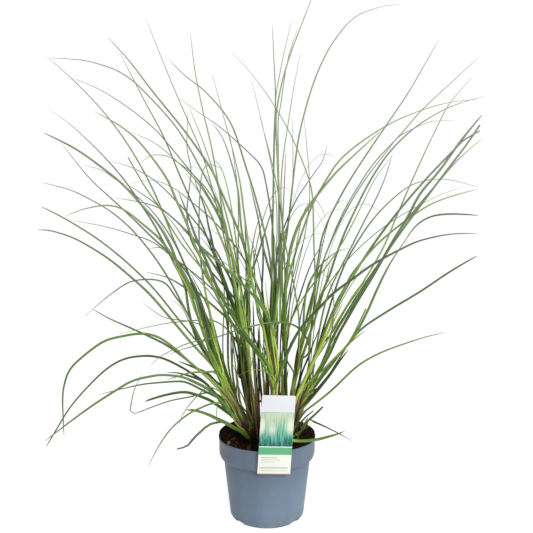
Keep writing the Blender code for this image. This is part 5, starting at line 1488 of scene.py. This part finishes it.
def build_floor(settings):
    """The studio floor: a wide disc just under the pot."""
    deselect_all()
    bpy.ops.mesh.primitive_circle_add(vertices=96, radius=FLOOR_RADIUS, fill_type="NGON",
                                      location=(0, 0, -FLOOR_GAP))
    floor = bpy.context.object
    edit_all()
    bpy.ops.mesh.inset(thickness=FLOOR_RADIUS * 0.4)
    stop_editing()
    pick(floor)
    apply_place()
    floor.name = "studio_floor"
    floor.data.materials.append(floor_material(settings.floor_colour, settings.floor_glow))


def add_light(name, place, size, power):
    """A square soft light, turned to the clump's middle."""
    bpy.ops.object.light_add(type="AREA", location=place)
    light = bpy.context.object
    light.name = name
    light.data.shape = "SQUARE"
    light.data.size = size
    light.data.energy = power
    light.rotation_euler = (Vector(LAMP_TARGET) - Vector(place)).to_track_quat("-Z", "Y").to_euler()


def build_stage(settings):
    """The floor, three soft lights, a bright white surround, and the camera at the photograph's place."""
    build_floor(settings)
    deselect_all()
    for name, place, size, power in LAMPS:
        add_light(name, place, size, getattr(settings, power))
    world = bpy.data.worlds.new("white surround")
    bpy.context.scene.world = world
    world.use_nodes = True
    tree = world.node_tree
    background = tree.nodes["Background"]
    seen = add_node(tree, "LightPath", output="Is Camera Ray")
    strength = add_node(tree, "MapRange", {"Value": seen, "To Min": settings.surround, "To Max": 1.0})
    connect(tree, background, Strength=strength)
    background.inputs["Color"].default_value = (1, 1, 1, 1)
    bpy.context.scene.view_settings.view_transform = "Standard"
    bpy.ops.object.camera_add(location=(0, -VIEW_DISTANCE * MM, VIEW_HEIGHT * MM),
                              rotation=(math.radians(90), 0, 0))
    camera = bpy.context.object
    camera.name = "photograph_view"
    # The photograph is as wide as it is tall. At this lens a pixel is 2 mm on the pot's axis.
    camera.data.sensor_width = SENSOR_WIDTH
    camera.data.lens = SENSOR_WIDTH * VIEW_DISTANCE / (2 * PHOTO_SIDE)
    camera.data.shift_x = (PHOTO_SIDE / 2 - PHOTO_AXIS) / PHOTO_SIDE
    camera.data.shift_y = (PHOTO_LEVEL - PHOTO_SIDE / 2) / PHOTO_SIDE
    camera.data.clip_start = 0.01
    bpy.context.scene.camera = camera


def colour_setting(name, description, hex_colour):
    return FloatVectorProperty(name=name, description=description, subtype="COLOR", min=0, max=1,
                               default=linear(hex_colour))


def power_setting(name, description, watts):
    return FloatProperty(name=name, description=description, subtype="POWER", unit="POWER", min=0,
                         default=watts)


class PotSettings(bpy.types.PropertyGroup):
    colour: colour_setting("Colour", "The moulded plastic's colour", "5c6c7e")
    steps: IntProperty(name="Steps", description="Faces round the pot", default=128, min=48, max=256)


class SoilSettings(bpy.types.PropertyGroup):
    dark: colour_setting("Dark", "The moist peat's colour", "040302")
    light: colour_setting("Light", "The drier crumbs' colour", "3e2a1c")
    steps: IntProperty(name="Steps", description="Faces round the compost", default=96, min=48, max=256)
    crumbs: IntProperty(name="Crumbs", description="Loose crumbs on the compost", default=1300, min=0)
    chips: IntProperty(name="Chips", description="Bark chips on the compost", default=110, min=0)


class LabelSettings(bpy.types.PropertyGroup):
    white: colour_setting("Card", "The card's white", "d2d2d8")
    panel: colour_setting("Panel", "The lower panel's cream", "e4e5da")
    band: colour_setting("Band", "The green band over the panel", "58a878")


class GrassSettings(bpy.types.PropertyGroup):
    deep: colour_setting("Deep green", "The oldest leaves", "2b401b")
    green: colour_setting("Green", "Most of the leaves", "5a7c31")
    bright: colour_setting("Bright green", "The leaves' feet", "84a439")
    young: colour_setting("Yellow-green", "The youngest leaves", "b6c45c")
    # Partly the wax's own grey and partly painted sheen: it greys the blades' upper parts, which catch the
    # light.
    wax_and_sheen: colour_setting("Bloom", "The grey wax on the leaves' upper parts", "8b967d")
    dry: colour_setting("Dry", "The leaves' dry tips", "8d8557")
    sheath: colour_setting("Sheath", "The sheaths' red-brown", "8a5f4e")
    straw: colour_setting("Straw", "Dead outer sheaths", "a08257")
    foot: colour_setting("Foot", "The shoots' purple-brown foot", "43231f")
    thickness: FloatProperty(name="Leaf thickness", description="How thick a leaf is", subtype="DISTANCE",
                             unit="LENGTH", default=0.4 * MM, min=0.1 * MM, max=2 * MM)
    roughness: FloatProperty(name="Leaf roughness", description="How matt the leaves' wax is",
                             subtype="FACTOR", default=0.42, min=0, max=1)
    back_blades: IntProperty(name="Back blades", description="Blades added to the sides and the back",
                             default=12, min=0)
    inner_blades: IntProperty(name="Inner blades", description="Short blades in the heart of each shoot",
                              default=5, min=0)


class StageSettings(bpy.types.PropertyGroup):
    floor_colour: colour_setting("Floor", "The floor's paint", "6c6c6c")
    floor_glow: FloatProperty(name="Floor glow", description="How strongly the floor is lit through",
                              default=0.93, min=0)
    key_power: power_setting("Key light", "The main light, at the front right", 74)
    fill_power: power_setting("Fill light", "The soft light at the front left", 4)
    top_power: power_setting("Top light", "The soft light overhead", 30)
    surround: FloatProperty(name="Surround", description="How strongly the white surround lights the plant",
                            default=0.22, min=0)


class PAMPAS_OT_add_pot(bpy.types.Operator):
    """Model the nursery pot"""
    bl_idname = "pampas.add_pot"
    bl_label = "Add the pot"
    bl_options = {"REGISTER", "UNDO"}

    def execute(self, context):
        build_pot(context.scene.pampas_pot)
        return {"FINISHED"}


class PAMPAS_OT_add_soil(bpy.types.Operator):
    """Model the compost with its crumbs and bark"""
    bl_idname = "pampas.add_soil"
    bl_label = "Add the compost"
    bl_options = {"REGISTER", "UNDO"}

    def execute(self, context):
        build_soil(context.scene.pampas_soil)
        build_litter(context.scene.pampas_soil)
        return {"FINISHED"}


class PAMPAS_OT_add_label(bpy.types.Operator):
    """Model the printed plant label"""
    bl_idname = "pampas.add_label"
    bl_label = "Add the label"
    bl_options = {"REGISTER", "UNDO"}

    def execute(self, context):
        build_label(context.scene.pampas_label)
        return {"FINISHED"}


class PAMPAS_OT_add_shoots(bpy.types.Operator):
    """Model the shoots, with their rolled and peeling sheaths"""
    bl_idname = "pampas.add_shoots"
    bl_label = "Add the shoots"
    bl_options = {"REGISTER", "UNDO"}

    def execute(self, context):
        for number in range(1, len(SHOOTS) + 1):
            build_shoot(number)
        return {"FINISHED"}


class PAMPAS_OT_add_main_blades(bpy.types.Operator):
    """Model the main blades"""
    bl_idname = "pampas.add_main_blades"
    bl_label = "Add the main blades"
    bl_options = {"REGISTER", "UNDO"}

    def execute(self, context):
        for number in range(1, len(MAIN_BLADES) + 1):
            build_main_blade(number)
        return {"FINISHED"}


class PAMPAS_OT_add_fine_blades(bpy.types.Operator):
    """Model the finer blades, and those that stand to the sides and the back"""
    bl_idname = "pampas.add_fine_blades"
    bl_label = "Add the finer blades"
    bl_options = {"REGISTER", "UNDO"}

    def execute(self, context):
        for shoot in range(1, len(SHOOTS) + 1):
            build_fine_blades(shoot)
        build_back_blades()
        return {"FINISHED"}


class PAMPAS_OT_add_stage(bpy.types.Operator):
    """Set up the floor, the lights and the camera"""
    bl_idname = "pampas.add_stage"
    bl_label = "Add the stage"
    bl_options = {"REGISTER", "UNDO"}

    def execute(self, context):
        build_stage(context.scene.pampas_stage)
        return {"FINISHED"}


STEPS = (PAMPAS_OT_add_pot, PAMPAS_OT_add_soil, PAMPAS_OT_add_label, PAMPAS_OT_add_shoots,
         PAMPAS_OT_add_main_blades, PAMPAS_OT_add_fine_blades, PAMPAS_OT_add_stage)
GROUPS = (("pampas_pot", PotSettings), ("pampas_soil", SoilSettings), ("pampas_label", LabelSettings),
          ("pampas_grass", GrassSettings), ("pampas_stage", StageSettings))


class PAMPAS_PT_panel(bpy.types.Panel):
    """The steps in order, each with its settings"""
    bl_idname = "PAMPAS_PT_panel"
    bl_label = "Potted Pampas Grass"
    bl_space_type = "VIEW_3D"
    bl_region_type = "UI"
    bl_category = "Pampas Grass"

    def draw(self, context):
        for step in STEPS:
            self.layout.operator(step.bl_idname)
        for group, settings in GROUPS:
            box = self.layout.box()
            for name in settings.__annotations__:
                box.prop(getattr(context.scene, group), name)


CLASSES = (*(settings for _, settings in GROUPS), *STEPS, PAMPAS_PT_panel)


def register():
    for cls in CLASSES:
        bpy.utils.register_class(cls)
    for name, settings in GROUPS:
        setattr(bpy.types.Scene, name, PointerProperty(type=settings))


def unregister():
    for name, _ in GROUPS:
        delattr(bpy.types.Scene, name)
    for cls in reversed(CLASSES):
        bpy.utils.unregister_class(cls)


def main():
    register()
    bpy.ops.pampas.add_pot()
    bpy.ops.pampas.add_soil()
    bpy.ops.pampas.add_label()
    bpy.ops.pampas.add_shoots()
    bpy.ops.pampas.add_main_blades()
    bpy.ops.pampas.add_fine_blades()
    bpy.ops.pampas.add_stage()


if __name__ == "__main__":
    main()
